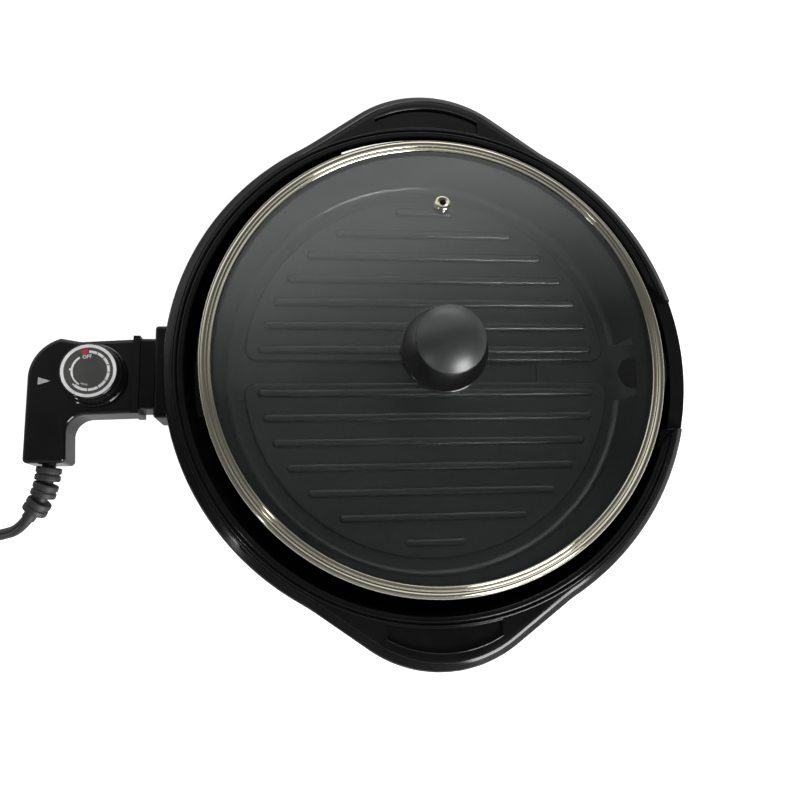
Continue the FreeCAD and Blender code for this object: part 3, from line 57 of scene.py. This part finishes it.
class SkilletCamera(bpy.types.PropertyGroup):
    """Where the photographer stood above the skillet."""
    place: bpy.props.FloatVectorProperty(
        name="Place", description="The camera's place", default=(-0.03855, -0.1179, 0.5544),
        subtype="TRANSLATION", unit="LENGTH")
    turn: bpy.props.FloatVectorProperty(
        name="Turn", description="The camera's turn",
        default=(math.radians(11.0), math.radians(-6.73), math.radians(-1.64)), subtype="EULER")
    lens: bpy.props.FloatProperty(
        name="Lens", description="Focal length on a 36 mm wide sensor", default=34.65, unit="CAMERA")


class SkilletCord(bpy.types.PropertyGroup):
    """The lead, the coil it is put away in, and the plug."""
    thickness: bpy.props.FloatProperty(
        name="Thickness", description="The lead's diameter", default=0.0072, unit="LENGTH")
    coil_radius: bpy.props.FloatProperty(
        name="Coil radius", description="The outermost turn's radius at the lead's middle line",
        default=0.0478, unit="LENGTH")
    coil_step: bpy.props.FloatProperty(
        name="Coil step", description="How much each half turn draws in", default=0.0039, unit="LENGTH")
    coil_low: bpy.props.FloatProperty(
        name="Lower layer", description="Height of the lower layer's middle line", default=0.0048,
        unit="LENGTH")
    coil_rise: bpy.props.FloatProperty(
        name="Layer rise", description="Height of the upper layer over the lower one", default=0.0077,
        unit="LENGTH")


class SkilletColours(bpy.types.PropertyGroup):
    """Colours of the visible finishes."""
    moulding: bpy.props.FloatVectorProperty(
        name="Moulding", description="Black moulded base", default=(0.0035, 0.0035, 0.004), subtype="COLOR",
        min=0, max=1)
    probe: bpy.props.FloatVectorProperty(
        name="Probe", description="Glossy black probe", default=(0.0035, 0.0035, 0.004), subtype="COLOR",
        min=0, max=1)
    coating: bpy.props.FloatVectorProperty(
        name="Coating", description="Speckled non-stick coat", default=(0.016, 0.020, 0.020),
        subtype="COLOR", min=0, max=1)
    steel: bpy.props.FloatVectorProperty(
        name="Steel", description="Lid ring and bright fittings", default=(0.60, 0.57, 0.46),
        subtype="COLOR", min=0, max=1)
    glass: bpy.props.FloatVectorProperty(
        name="Glass", description="Tint of the lid", default=(0.86, 0.89, 0.88), subtype="COLOR",
        min=0, max=1)
    rubber: bpy.props.FloatVectorProperty(
        name="Rubber", description="Cord, plug and feet", default=(0.010, 0.010, 0.011), subtype="COLOR",
        min=0, max=1)
    print: bpy.props.FloatVectorProperty(
        name="Print", description="Printing on the dial", default=(0.50, 0.50, 0.50), subtype="COLOR",
        min=0, max=1)
    mark: bpy.props.FloatVectorProperty(
        name="Mark", description="Resting mark on the dial", default=(0.28, 0.012, 0.018), subtype="COLOR",
        min=0, max=1)
    floor: bpy.props.FloatVectorProperty(
        name="Floor", description="Pale studio floor", default=(0.80, 0.80, 0.80), subtype="COLOR",
        min=0, max=1)


class SkilletStudio(bpy.types.PropertyGroup):
    """Light over the table."""
    sky_strength: bpy.props.FloatProperty(
        name="Sky", description="Strength of the sky", default=1.0, min=0, max=3)
    floor_lift: bpy.props.FloatProperty(
        name="Floor lift", description="How far the paper is lifted to white where it is seen", default=0.75,
        min=0, max=1)
    front_power: bpy.props.FloatProperty(
        name="Front lamp", description="Power of the wide lamp at the front right", default=46, unit="POWER")
    left_power: bpy.props.FloatProperty(
        name="Left lamp", description="Power of the strip at the front left", default=2.5, unit="POWER")
    back_power: bpy.props.FloatProperty(
        name="Back lamp", description="Power of the low lamp behind", default=4, unit="POWER")


def node_tree(name):
    """A new material with its output and a shader for surfaces."""
    material = bpy.data.materials.new(name)
    material.use_nodes = True
    tree = material.node_tree
    return material, tree, tree.nodes["Principled BSDF"]


def add(tree, kind, **values):
    """A new shader node with some of its settings given."""
    node = tree.nodes.new(kind)
    for key, item in values.items():
        setattr(node, key, item)
    return node


def noise(tree, scale, detail=2, source=None, stretch=None):
    """Noise on the piece's own Object coordinates."""
    place = add(tree, "ShaderNodeTexCoord")
    texture = add(tree, "ShaderNodeTexNoise")
    texture.inputs["Scale"].default_value = scale
    texture.inputs["Detail"].default_value = detail
    if stretch:
        mapping = add(tree, "ShaderNodeMapping")
        mapping.inputs["Scale"].default_value = stretch
        tree.links.new(place.outputs["Object"], mapping.inputs["Vector"])
        tree.links.new(mapping.outputs["Vector"], texture.inputs["Vector"])
    else:
        tree.links.new(place.outputs["Object"], texture.inputs["Vector"])
    return texture.outputs["Fac"]


def spread(tree, value, low, high, start=0.0, end=1.0):
    """Maps a 0 to 1 value to a range."""
    node = add(tree, "ShaderNodeMapRange")
    node.inputs["From Min"].default_value = start
    node.inputs["From Max"].default_value = end
    node.inputs["To Min"].default_value = low
    node.inputs["To Max"].default_value = high
    tree.links.new(value, node.inputs["Value"])
    return node.outputs["Result"]


def blend_colours(tree, share, first, second):
    """Goes from the first colour to the second as share goes from 0 to 1."""
    node = add(tree, "ShaderNodeMix", data_type="RGBA")
    ends = {"A": first, "B": second}
    for socket in node.inputs:
        if socket.name in ends and socket.type == "RGBA":
            socket.default_value = (*ends[socket.name], 1)
    tree.links.new(share, node.inputs["Factor"])
    return next(item for item in node.outputs if item.type == "RGBA")


def relief(tree, shader, height, distance, strength=1.0):
    """Bump from a height value, with its distance in metres."""
    bump = add(tree, "ShaderNodeBump")
    bump.inputs["Distance"].default_value = distance
    bump.inputs["Strength"].default_value = strength
    tree.links.new(height, bump.inputs["Height"])
    tree.links.new(bump.outputs["Normal"], shader.inputs["Normal"])


def moulded(name, colour, rough, grain=1800.0, depth=0.00002, shine=0.5):
    """Moulded plastic: fine grain, faint uneven gloss and a slight mottling."""
    material, tree, shader = node_tree(name)
    patch = noise(tree, 45, 3)
    fine = noise(tree, grain, 2)
    lighter = tuple(min(1, item * 1.4 + 0.0006) for item in colour)
    tree.links.new(blend_colours(tree, spread(tree, patch, 0, 1, 0.35, 0.65), colour, lighter),
                   shader.inputs["Base Color"])
    tree.links.new(spread(tree, patch, rough * 0.85, rough * 1.2), shader.inputs["Roughness"])
    shader.inputs["Specular IOR Level"].default_value = shine
    relief(tree, shader, fine, depth)
    return material


def metal(name, colour, rough, stretch=None, depth=0.000004):
    """Bright metal with fine drawn lines or a light satin."""
    material, tree, shader = node_tree(name)
    shader.inputs["Metallic"].default_value = 1
    lines = noise(tree, 900, 3, stretch=stretch)
    duller = tuple(item * 0.82 for item in colour)
    tree.links.new(blend_colours(tree, lines, duller, colour), shader.inputs["Base Color"])
    tree.links.new(spread(tree, lines, rough * 0.75, rough * 1.25), shader.inputs["Roughness"])
    relief(tree, shader, lines, depth)
    return material


def coated(name, colour):
    """Cast pan with a speckled non-stick coat."""
    material, tree, shader = node_tree(name)
    speck = noise(tree, 2600, 1)
    patch = noise(tree, 30, 3)
    bright = tuple(min(1, item * 3.2 + 0.02) for item in colour)
    tree.links.new(blend_colours(tree, spread(tree, speck, 0, 1, 0.60, 0.72), colour, bright),
                   shader.inputs["Base Color"])
    tree.links.new(spread(tree, patch, 0.27, 0.36), shader.inputs["Roughness"])
    shader.inputs["Specular IOR Level"].default_value = 0.9
    relief(tree, shader, speck, 0.00005, 0.6)
    return material


def clear_glass(name, tint):
    """Tempered glass with faint ripples."""
    material, tree, shader = node_tree(name)
    ripple = noise(tree, 14, 2)
    shader.inputs["Transmission Weight"].default_value = 1
    shader.inputs["IOR"].default_value = 1.48
    shader.inputs["Base Color"].default_value = (*tint, 1)
    tree.links.new(spread(tree, ripple, 0.0, 0.015), shader.inputs["Roughness"])
    relief(tree, shader, ripple, 0.0002, 0.25)
    return material


def bow(start, end, rise, count):
    """Count points of a shallow arc from start to end, both (radius, height), swelling by rise to the left."""
    along = Vector((end[0] - start[0], end[1] - start[1]))
    side = Vector((-along.y, along.x)).normalized()
    spots = []
    for index in range(1, count + 1):
        share = index / count
        spot = Vector(start) + along * share + side * (4 * rise * share * (1 - share))
        spots.append((spot.x, spot.y))
    return spots


def pull_out(outline, middle, turn=0.0):
    """Draws an outline in edit mode: one point, extruded from corner to corner in millimetres."""
    across = Vector((math.cos(turn), math.sin(turn), 0)) * MM
    return join_dots([middle + across * radius + Vector((0, 0, height * MM)) for radius, height in outline])


def join_dots(spots):
    """A single point extruded in edit mode from spot to spot, left in edit mode with all of it selected."""
    bpy.ops.object.select_all(action="DESELECT")
    bpy.ops.mesh.primitive_plane_add(size=0.001, location=spots[0])
    bpy.ops.object.mode_set(mode="EDIT")
    bpy.ops.mesh.select_all(action="SELECT")
    bpy.ops.mesh.merge(type="CENTER")
    for before, after in zip(spots, spots[1:]):
        bpy.ops.mesh.extrude_region_move(TRANSFORM_OT_translate={"value": after - before})
    bpy.ops.mesh.select_all(action="SELECT")
    return bpy.context.object


def thread(spots, radius):
    """A thin round line through spots."""
    join_dots(spots)
    bpy.ops.object.mode_set(mode="OBJECT")
    bpy.ops.object.convert(target="CURVE")
    line = bpy.context.object
    line.data.bevel_depth = radius * MM
    line.data.bevel_resolution = 2
    line.data.use_fill_caps = True
    bpy.ops.object.convert(target="MESH")
    return bpy.context.object


def lathe(name, outline, middle, steps):
    """A round piece: an outline of (radius, height) corners spun round an upright axis."""
    piece = pull_out(outline, middle)
    piece.name = name
    bpy.ops.mesh.spin(steps=steps, angle=2 * math.pi, center=middle, axis=(0, 0, 1))
    bpy.ops.mesh.select_all(action="SELECT")
    bpy.ops.mesh.remove_doubles(threshold=0.000002)
    bpy.ops.mesh.normals_make_consistent(inside=False)
    bpy.ops.object.mode_set(mode="OBJECT")
    return piece


def sector(inner, outer, start, end, height, thick=0.06):
    """A flat printed bar bent round the dial's middle, from one angle to another in degrees."""
    piece = pull_out([(inner, height), (outer, height)], DIAL, math.radians(start))
    steps = max(2, round(abs(end - start) / 4))
    bpy.ops.mesh.spin(steps=steps, angle=-math.radians(end - start), center=DIAL, axis=(0, 0, 1))
    bpy.ops.mesh.select_all(action="SELECT")
    bpy.ops.mesh.remove_doubles(threshold=0.000002)
    bpy.ops.mesh.normals_make_consistent(inside=False)
    bpy.ops.mesh.extrude_region_move(TRANSFORM_OT_translate={"value": (0, 0, thick * MM)})
    bpy.ops.mesh.select_all(action="SELECT")
    bpy.ops.mesh.normals_make_consistent(inside=False)
    bpy.ops.object.mode_set(mode="OBJECT")
    return piece


def rib(outline, middle, start, end, steps):
    """A thin raised line: a closed outline carried round from start to end in degrees, both ends shut."""
    piece = pull_out(outline, middle, math.radians(start))
    bpy.ops.mesh.spin(steps=steps, angle=-math.radians(end - start), center=middle, axis=(0, 0, 1))
    bpy.ops.mesh.select_all(action="SELECT")
    bpy.ops.mesh.remove_doubles(threshold=0.000002)
    bpy.ops.mesh.fill_holes(sides=0)
    bpy.ops.mesh.select_all(action="SELECT")
    bpy.ops.mesh.normals_make_consistent(inside=False)
    bpy.ops.object.mode_set(mode="OBJECT")
    return piece


def gather(name, pieces):
    """Joins pieces into the first one."""
    bpy.ops.object.select_all(action="DESELECT")
    for piece in pieces:
        piece.select_set(True)
    bpy.context.view_layer.objects.active = pieces[0]
    if len(pieces) > 1:
        bpy.ops.object.join()
    pieces[0].name = name
    return pieces[0]


def settle(piece, material, body, replaced=(), angle=40):
    """Brings a finished piece's origin home, smooths it, and gives it its finish and its body."""
    bpy.ops.object.select_all(action="DESELECT")
    piece.select_set(True)
    bpy.context.view_layer.objects.active = piece
    bpy.ops.object.transform_apply(location=True, rotation=True, scale=True)
    bpy.ops.object.shade_smooth_by_angle(angle=math.radians(angle))
    piece.data.materials.clear()
    piece.data.materials.append(material)
    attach(piece, body)
    if replaced:
        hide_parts(*replaced)


def dress(names, material):
    """Gives CAD nodes a finish, leaving their shapes alone."""
    for name in names:
        node = NODES[name]
        node.data.materials.clear()
        node.data.materials.append(material)


def colours():
    """The finishes' colours, as the sidebar holds them."""
    return bpy.context.scene.skillet_colours


class SKILLET_OT_camera(bpy.types.Operator):
    """Stands the camera where the photograph was taken"""
    bl_idname = "skillet.camera"
    bl_label = "Camera"

    def execute(self, context):
        look = context.scene.skillet_camera
        data = bpy.data.cameras.new("photo_camera")
        data.lens = look.lens
        data.sensor_width = 36
        data.sensor_fit = "HORIZONTAL"
        data.clip_start = 0.01
        camera = bpy.data.objects.new("photo_camera", data)
        context.scene.collection.objects.link(camera)
        camera.location = look.place
        camera.rotation_euler = Euler(look.turn, "XYZ")
        context.scene.camera = camera
        return {"FINISHED"}


def coil_points(sizes):
    """Points of the put-away coil, 12 to a turn, in on the lower layer and out on the upper one.

    Each arc gives how far its middle is shifted, its radius, its first angle and sweep in degrees, and the
    heights that it begins and ends at.
    """
    middle = Vector((-0.376 + PAN.x, -0.1728, 0))
    step, outer = sizes.coil_step, sizes.coil_radius
    low, high = sizes.coil_low, sizes.coil_low + sizes.coil_rise
    arcs = [(0, outer, 90, 90, low, low), (-step, outer - step, 180, 180, low, low),
            (0, outer - 2 * step, 0, 180, low, low), (-step, outer - 3 * step, 180, 180, low, low),
            (0, outer - 4 * step, 0, 180, low, high), (step, outer - 3 * step, 180, 180, high, high),
            (0, outer - 2 * step, 0, 180, high, high), (step, outer - step, 180, 180, high, high),
            (0, outer, 0, 90, high, high)]
    points = []
    for shift, radius, start, sweep, begin, end in arcs:
        count = 6 if sweep == 180 else 3
        for index in range(count):
            share = (index + 0.5) / count
            turn = math.radians(start + sweep * share)
            swell = radius / math.cos(math.radians(sweep / count / 2))
            points.append(middle + Vector((shift + swell * math.cos(turn), swell * math.sin(turn),
                                           begin + (end - begin) * share)))
    return points


class SKILLET_OT_cord(bpy.types.Operator):
    """Lays the mains lead from the probe over the table into its put-away coil and on to the plug"""
    bl_idname = "skillet.cord"
    bl_label = "Mains cord"

    def execute(self, context):
        sizes = context.scene.skillet_cord
        lead = [(-264.2, -92.6, 22.9), (-269.1, -98.6, 20.7), (-283, -102.6, 15.2), (-299, -105.5, 9.2),
                (-318, -112.2, 5.4), (-335, -120.2, 4.8), (-352, -125, 4.8), (-368.8, -125, 4.8)]
        points = [Vector(item) * MM + PAN for item in lead]
        last_collar = Vector((-258.2, -85.3, 25.5)) * MM + PAN
        points[1] = points[0] + (points[0] - last_collar).normalized() * 10 * MM
        points += coil_points(sizes)
        high = sizes.coil_low + sizes.coil_rise
        points += [Vector((along, -0.125, high)) + PAN for along in (-0.3832, -0.4172)]
        curve = bpy.data.curves.new("mains_lead", "CURVE")
        curve.dimensions = "3D"
        line = curve.splines.new("NURBS")
        line.points.add(len(points) - 1)
        for spot, point in zip(line.points, points):
            spot.co = (*point, 1)
        line.order_u = 3
        line.use_endpoint_u = True
        line.resolution_u = 6
        curve.bevel_depth = sizes.thickness / 2
        curve.bevel_resolution = 5
        curve.use_fill_caps = True
        cord = bpy.data.objects.new("mains_lead", curve)
        context.scene.collection.objects.link(cord)
        curve.materials.append(moulded("cord jacket", colours().rubber, 0.42, 900, 0.00003))
        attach(cord, "probe")
        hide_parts("mains_cord", "cord_coil", "plug_lead")
        return {"FINISHED"}


class SKILLET_OT_lid_ring(bpy.types.Operator):
    """Spins the lid's steel band with its rolled edges, channel and ridge"""
    bl_idname = "skillet.lid_ring"
    bl_label = "Lid ring"

    def execute(self, context):
        outline = [(143.5, 80.5), (149.2, 80.5), *bow((149.2, 80.5), (150, 81.3), -0.16, 4), (150, 84.3)]
        for end, rise, count in (((149.0, 86.2), -0.30, 6), ((148.4, 86.05), 0.0, 1),
                                 ((146.2, 85.85), -0.42, 8), ((145.8, 85.75), 0.08, 2),
                                 ((144.6, 85.75), -0.55, 8), ((143.4, 85.65), 0.12, 5),
                                 ((142.02, 85.55), -0.5, 8)):
            outline += bow(outline[-1], end, rise, count)
        outline += [(142.1, 85.45), (148.7, 85.45), (148.7, 81.2), (143.5, 81.2), (143.5, 80.5)]
        band = lathe("lid_band", outline, PAN, 240)
        steel = metal("band steel", colours().steel, 0.13, stretch=(1, 1, 0.2))
        settle(band, steel, "lid", ["lid_ring"], 35)
        return {"FINISHED"}


def arc_spots(middle, radius, start, end, count):
    """Points of an arc in plan, without its last one."""
    turns = [start + (end - start) * index / count for index in range(count)]
    return [(middle[0] + radius * math.cos(turn), middle[1] + radius * math.sin(turn)) for turn in turns]


def edge_run(inset):
    """The base's outline in plan, drawn in by inset, from the tray's notch round both handles and back.

    A quarter holds the rim's arc, the hollow blend beside the handle and the handle's crown.
    """
    reach, crown, blend, rim, notch = 194.5, 80.5, 120.0, 174.5, 62
    lean = math.radians(35.5)
    line = (reach - crown) * math.cos(lean) + crown
    slide = -math.sqrt((rim + blend) ** 2 - (line + blend) ** 2)
    far = ((line + blend) * math.sin(lean) + slide * math.cos(lean),
           (line + blend) * math.cos(lean) - slide * math.sin(lean))
    meet = math.atan2(far[1], far[0])
    quarter = arc_spots((0, 0), rim - inset, 0, meet, 20)
    quarter += arc_spots(far, -blend - inset, meet, math.pi / 2 - lean, 6)
    quarter += arc_spots((0, reach - crown), crown - inset, math.pi / 2 - lean, math.pi / 2, 14)
    notched = [spot for spot in quarter if spot[1] > notch]
    upper = notched + [(0, reach - inset)] + [(-x, y) for x, y in reversed(quarter)]
    return upper + [(x, -y) for x, y in reversed(upper[:-1])]


class SKILLET_OT_rim_lines(bpy.types.Operator):
    """Raises two fine lines on the base's rim, its edge line and the lips of the recess in each handle"""
    bl_idname = "skillet.rim_lines"
    bl_label = "Rim lines"

    def execute(self, context):
        lines = [self.raised(PAN, radius, 1.1, 0.42, 24, 336, 208) for radius in (163.2, 165.9)]
        for side in (1, -1):
            for shift, radius, edge in ((0, 166.9, 167.5), (108.5, 73.6, 74)):
                middle = PAN + Vector((0, side * shift * MM, 0))
                tip = math.degrees(math.asin(RECESS_HALF / edge))
                lines.append(self.raised(middle, radius, 1.0, 0.36, 90 * side - tip, 90 * side + tip, 24))
        inset, high, radius = 6.4, 70.0, 0.42
        lines.append(thread([PAN + Vector((x, y, high)) * MM for x, y in edge_run(inset)], radius))
        black = moulded("line moulding", colours().moulding, 0.16, 1400, 0.000004, shine=0.35)
        settle(gather("rim_lines", lines), black, "base", angle=60)
        return {"FINISHED"}

    def raised(self, middle, radius, wide, tall, start, end, steps):
        """One low rounded line lying on the rim's top."""
        foot, toe = (radius, RIM_TOP), (radius + wide, RIM_TOP)
        return rib([foot, *bow(foot, toe, tall, 6), foot], middle, start, end, steps)


class SKILLET_OT_dial_face(bpy.types.Operator):
    """Prints the dial: an outer ring, a graduated scale, an inner arc, a low mark and the resting mark"""
    bl_idname = "skillet.dial_face"
    bl_label = "Dial face"

    def execute(self, context):
        look = colours()
        rim, bottom, lip, top = 17.0, DIAL_TOP - 0.6, DIAL_TOP - 0.12, DIAL_TOP - 0.02
        disc = lathe("dial_plate", [(0, bottom), (rim - 0.1, bottom), (rim, bottom + 0.1), (rim, lip),
                                    *bow((rim, lip), (rim - 0.25, top), -0.05, 3), (0, top)], DIAL, 96)
        # Painted sheen: the face's grey is set well above the black plastic's own colour to stand in for the
        # soft sheen over the disc.
        face = moulded("dial face", (0.040, 0.040, 0.038), 0.3, 1500, 0.00001)
        settle(disc, face, "dial", ["dial_disc"])
        high = DIAL_TOP - 0.04
        bars = [sector(15.3, 17.3, 0, 360, high + 0.02)]
        for start, end in ((90, 67), (64.3, 44.4), (41.7, 19.6), (17, -3.2), (-5.8, -29.3), (-31.9, -57.7),
                           (-60.3, -88.2), (-90.8, -120), (-120, -130)):
            bars.append(sector(11.6, 13.3, start, end, high))
        for inner, outer, start, end in ((12.2, 13.0, -130, -137), (9.6, 10.9, 123, 200),
                                         (9.9, 10.8, 200, 239), (10.7, 11.8, 172, 179)):
            bars.append(sector(inner, outer, start, end, high))
        white = moulded("dial print white", look.print, 0.45, 1500, 0.000006)
        settle(gather("dial_scale", bars), white, "dial")
        red = moulded("dial print red", look.mark, 0.45, 1500, 0.000006)
        settle(gather("dial_rest_mark", [sector(11.0, 14.2, 93, 112, high)]), red, "dial")
        grey = moulded("dial print grey", (0.22, 0.22, 0.21), 0.5, 1500, 0.000006)
        settle(gather("dial_low_mark", [sector(8.5, 9.7, -118, -91, high)]), grey, "dial")
        settle(gather("dial_word", [self.word(high)]), white, "dial", angle=20)
        return {"FINISHED"}

    def word(self, high):
        """The word by the resting mark, standing on its radius."""
        turn, radius = math.radians(97), 8.2
        place = Vector((radius * math.cos(turn), radius * math.sin(turn), high)) * MM
        bpy.ops.object.select_all(action="DESELECT")
        bpy.ops.object.text_add(location=DIAL + place, rotation=(0, 0, turn - math.pi / 2))
        word = bpy.context.object
        word.data.body = "OFF"
        word.data.size = 0.0033
        word.data.extrude = 0.00003
        word.data.offset = 0.00006
        word.data.align_x = "CENTER"
        word.data.resolution_u = 3
        bpy.ops.object.convert(target="MESH")
        return bpy.context.object


class SKILLET_OT_finishes(bpy.types.Operator):
    """Gives every CAD piece its finish"""
    bl_idname = "skillet.finishes"
    bl_label = "Finishes"

    def execute(self, context):
        look = colours()
        black = moulded("base moulding", look.moulding, 0.16, 1400, 0.000006, shine=0.2)
        dress(["base_shell", "socket_guard", "drip_tray"], black)
        gloss = moulded("gloss moulding", look.probe, 0.1, 900, 0.000004, shine=0.3)
        dress(["probe_top_shell", "probe_bottom_shell", "dial"], gloss)
        knob = moulded("knob moulding", (0.016, 0.018, 0.018), 0.40, 1600, 0.00003, shine=0.6)
        dress(["lid_knob"], knob)
        dress(["knob_collar"], moulded("collar moulding", look.moulding, 0.16, 1600, 0.000006))
        dress(["lid_glass"], clear_glass("lid glass", look.glass))
        dress(["lid_ring", "vent_eyelet"], metal("lid steel", look.steel, 0.16))
        dress(["grill_plate", "grill_pan", "drain_spout"], coated("non-stick coat", look.coating))
        bright = metal("bright steel", (0.62, 0.62, 0.62), 0.28)
        dress(["terminal_pins", "terminal_bracket", "pan_screws", "guard_screws", "knob_washer", "knob_screw",
               "sensing_rod", "thermostat_frame", "cord_clamp_screws", "dial_shaft", "probe_screws"], bright)
        dress(["heat_shield"], metal("shield sheet", (0.76, 0.76, 0.77), 0.35))
        dress(["heating_element"], metal("heater sheath", (0.28, 0.26, 0.24), 0.45, depth=0.00001))
        dress(["pin_insulators"], moulded("glazed ceramic", (0.72, 0.69, 0.62), 0.2, 700, 0.00001))
        rubber = moulded("black rubber", look.rubber, 0.55, 1200, 0.00004)
        dress(["rubber_feet", "strain_relief", "cord_tie", "plug_body", "inner_lead"], rubber)
        brass = metal("contact brass", (0.72, 0.52, 0.22), 0.25)
        dress(["female_contacts", "bimetal_blade", "contact_blade", "terminal_tails", "plug_pins",
               "shaft_bush"], brass)
        brown = moulded("brown moulding", (0.05, 0.022, 0.012), 0.4, 900, 0.00002)
        dress(["contact_block", "cord_clamp"], brown)
        dress(["dial_pointer"], moulded("pointer paint", (0.32, 0.32, 0.33), 0.5, 1500, 0.00001))
        dress(["dial_disc"], moulded("dial face", (0.008, 0.008, 0.009), 0.3, 1500, 0.00001))
        dress(["mains_cord", "cord_coil", "plug_lead"], rubber)
        return {"FINISHED"}


class SKILLET_OT_stage(bpy.types.Operator):
    """Sets the pale floor, three lamps and a graded sky"""
    bl_idname = "skillet.stage"
    bl_label = "Studio"

    def execute(self, context):
        studio = context.scene.skillet_studio
        self.floor(studio)
        self.sky(context, studio)
        context.scene.view_settings.view_transform = "Standard"
        for name, place, wide, tall, power in (
                ("front_lamp", (0.90, -1.30, 0.66), 0.80, 0.8, studio.front_power),
                ("left_lamp", (-1.10, -0.90, 0.60), 0.06, 0.5, studio.left_power),
                ("back_lamp", (0.10, 1.6, 0.30), 1.2, 0.3, studio.back_power)):
            light = bpy.data.lights.new(name, "AREA")
            light.energy = power
            light.shape = "RECTANGLE"
            light.size = wide
            light.size_y = tall
            lamp = bpy.data.objects.new(name, light)
            context.scene.collection.objects.link(lamp)
            lamp.location = place
            lamp.rotation_euler = (-Vector(place)).to_track_quat("-Z", "Y").to_euler()
        return {"FINISHED"}

    def floor(self, studio):
        """A sheet of paper that is lifted to white where it is seen straight or through the glass."""
        bpy.ops.object.select_all(action="DESELECT")
        bpy.ops.mesh.primitive_plane_add(size=8, location=(0, 0, 0))
        floor = bpy.context.object
        floor.name = "studio_floor"
        material, tree, shader = node_tree("studio paper")
        floor.data.materials.append(material)
        shader.inputs["Roughness"].default_value = 0.9
        shader.inputs["Specular IOR Level"].default_value = 0.1
        pale = colours().floor
        duller = tuple(item * 0.98 for item in pale)
        tree.links.new(blend_colours(tree, noise(tree, 3), pale, duller), shader.inputs["Base Color"])
        seen = add(tree, "ShaderNodeLightPath")
        either = add(tree, "ShaderNodeMath", operation="MAXIMUM")
        tree.links.new(seen.outputs["Is Camera Ray"], either.inputs[0])
        tree.links.new(seen.outputs["Is Transmission Ray"], either.inputs[1])
        shader.inputs["Emission Color"].default_value = (1, 1, 1, 1)
        lift = spread(tree, either.outputs[0], 0, studio.floor_lift)
        tree.links.new(lift, shader.inputs["Emission Strength"])

    def sky(self, context, studio):
        """A sky that is dim at the front and overhead and bright low behind."""
        world = bpy.data.worlds.new("studio_sky")
        context.scene.world = world
        world.use_nodes = True
        tree = world.node_tree
        coords = add(tree, "ShaderNodeTexCoord")
        slope = add(tree, "ShaderNodeVectorMath", operation="DOT_PRODUCT")
        slope.inputs[1].default_value = (-0.22, 0.975, 0)  # toward the back, a little to the left
        tree.links.new(coords.outputs["Generated"], slope.inputs[0])
        ramp = add(tree, "ShaderNodeValToRGB")
        tree.links.new(spread(tree, slope.outputs["Value"], 0, 1, -1, 1), ramp.inputs["Fac"])
        stops = ((0.0, 0.40), (0.20, 0.20), (0.36, 0.10), (0.60, 0.17), (0.71, 0.55), (0.79, 1.10),
                 (0.87, 1.5), (1.0, 0.9))
        bar = ramp.color_ramp
        while len(bar.elements) < len(stops):
            bar.elements.new(0.5)
        for stop, (place, level) in zip(bar.elements, stops):
            stop.position = place
            stop.color = (level, level * 1.01, level, 1)
        tree.links.new(ramp.outputs["Color"], tree.nodes["Background"].inputs["Color"])
        tree.nodes["Background"].inputs["Strength"].default_value = studio.sky_strength


PIECES = (SKILLET_OT_camera, SKILLET_OT_cord, SKILLET_OT_finishes, SKILLET_OT_lid_ring, SKILLET_OT_rim_lines,
          SKILLET_OT_dial_face, SKILLET_OT_stage)


class SKILLET_PT_panel(bpy.types.Panel):
    """Lists the skillet's pieces and their settings"""
    bl_label = "Electric Skillet"
    bl_idname = "SKILLET_PT_panel"
    bl_space_type = "VIEW_3D"
    bl_region_type = "UI"
    bl_category = "Skillet"

    def draw(self, context):
        for piece in PIECES:
            self.layout.operator(piece.bl_idname)
        for group in (context.scene.skillet_camera, context.scene.skillet_cord, context.scene.skillet_colours,
                      context.scene.skillet_studio):
            box = self.layout.box()
            for name in group.bl_rna.properties.keys():
                if name not in {"rna_type", "name"}:
                    box.prop(group, name)


GROUPS = (("skillet_camera", SkilletCamera), ("skillet_cord", SkilletCord),
          ("skillet_colours", SkilletColours), ("skillet_studio", SkilletStudio))


def register():
    for name, group in GROUPS:
        bpy.utils.register_class(group)
        setattr(bpy.types.Scene, name, bpy.props.PointerProperty(type=group))
    for piece in (*PIECES, SKILLET_PT_panel):
        bpy.utils.register_class(piece)


def unregister():
    for piece in reversed((*PIECES, SKILLET_PT_panel)):
        bpy.utils.unregister_class(piece)
    for name, group in reversed(GROUPS):
        delattr(bpy.types.Scene, name)
        bpy.utils.unregister_class(group)


def main():
    register()
    for piece in PIECES:
        group, name = piece.bl_idname.split(".")
        getattr(getattr(bpy.ops, group), name)()


if __name__ == "__main__":
    main()
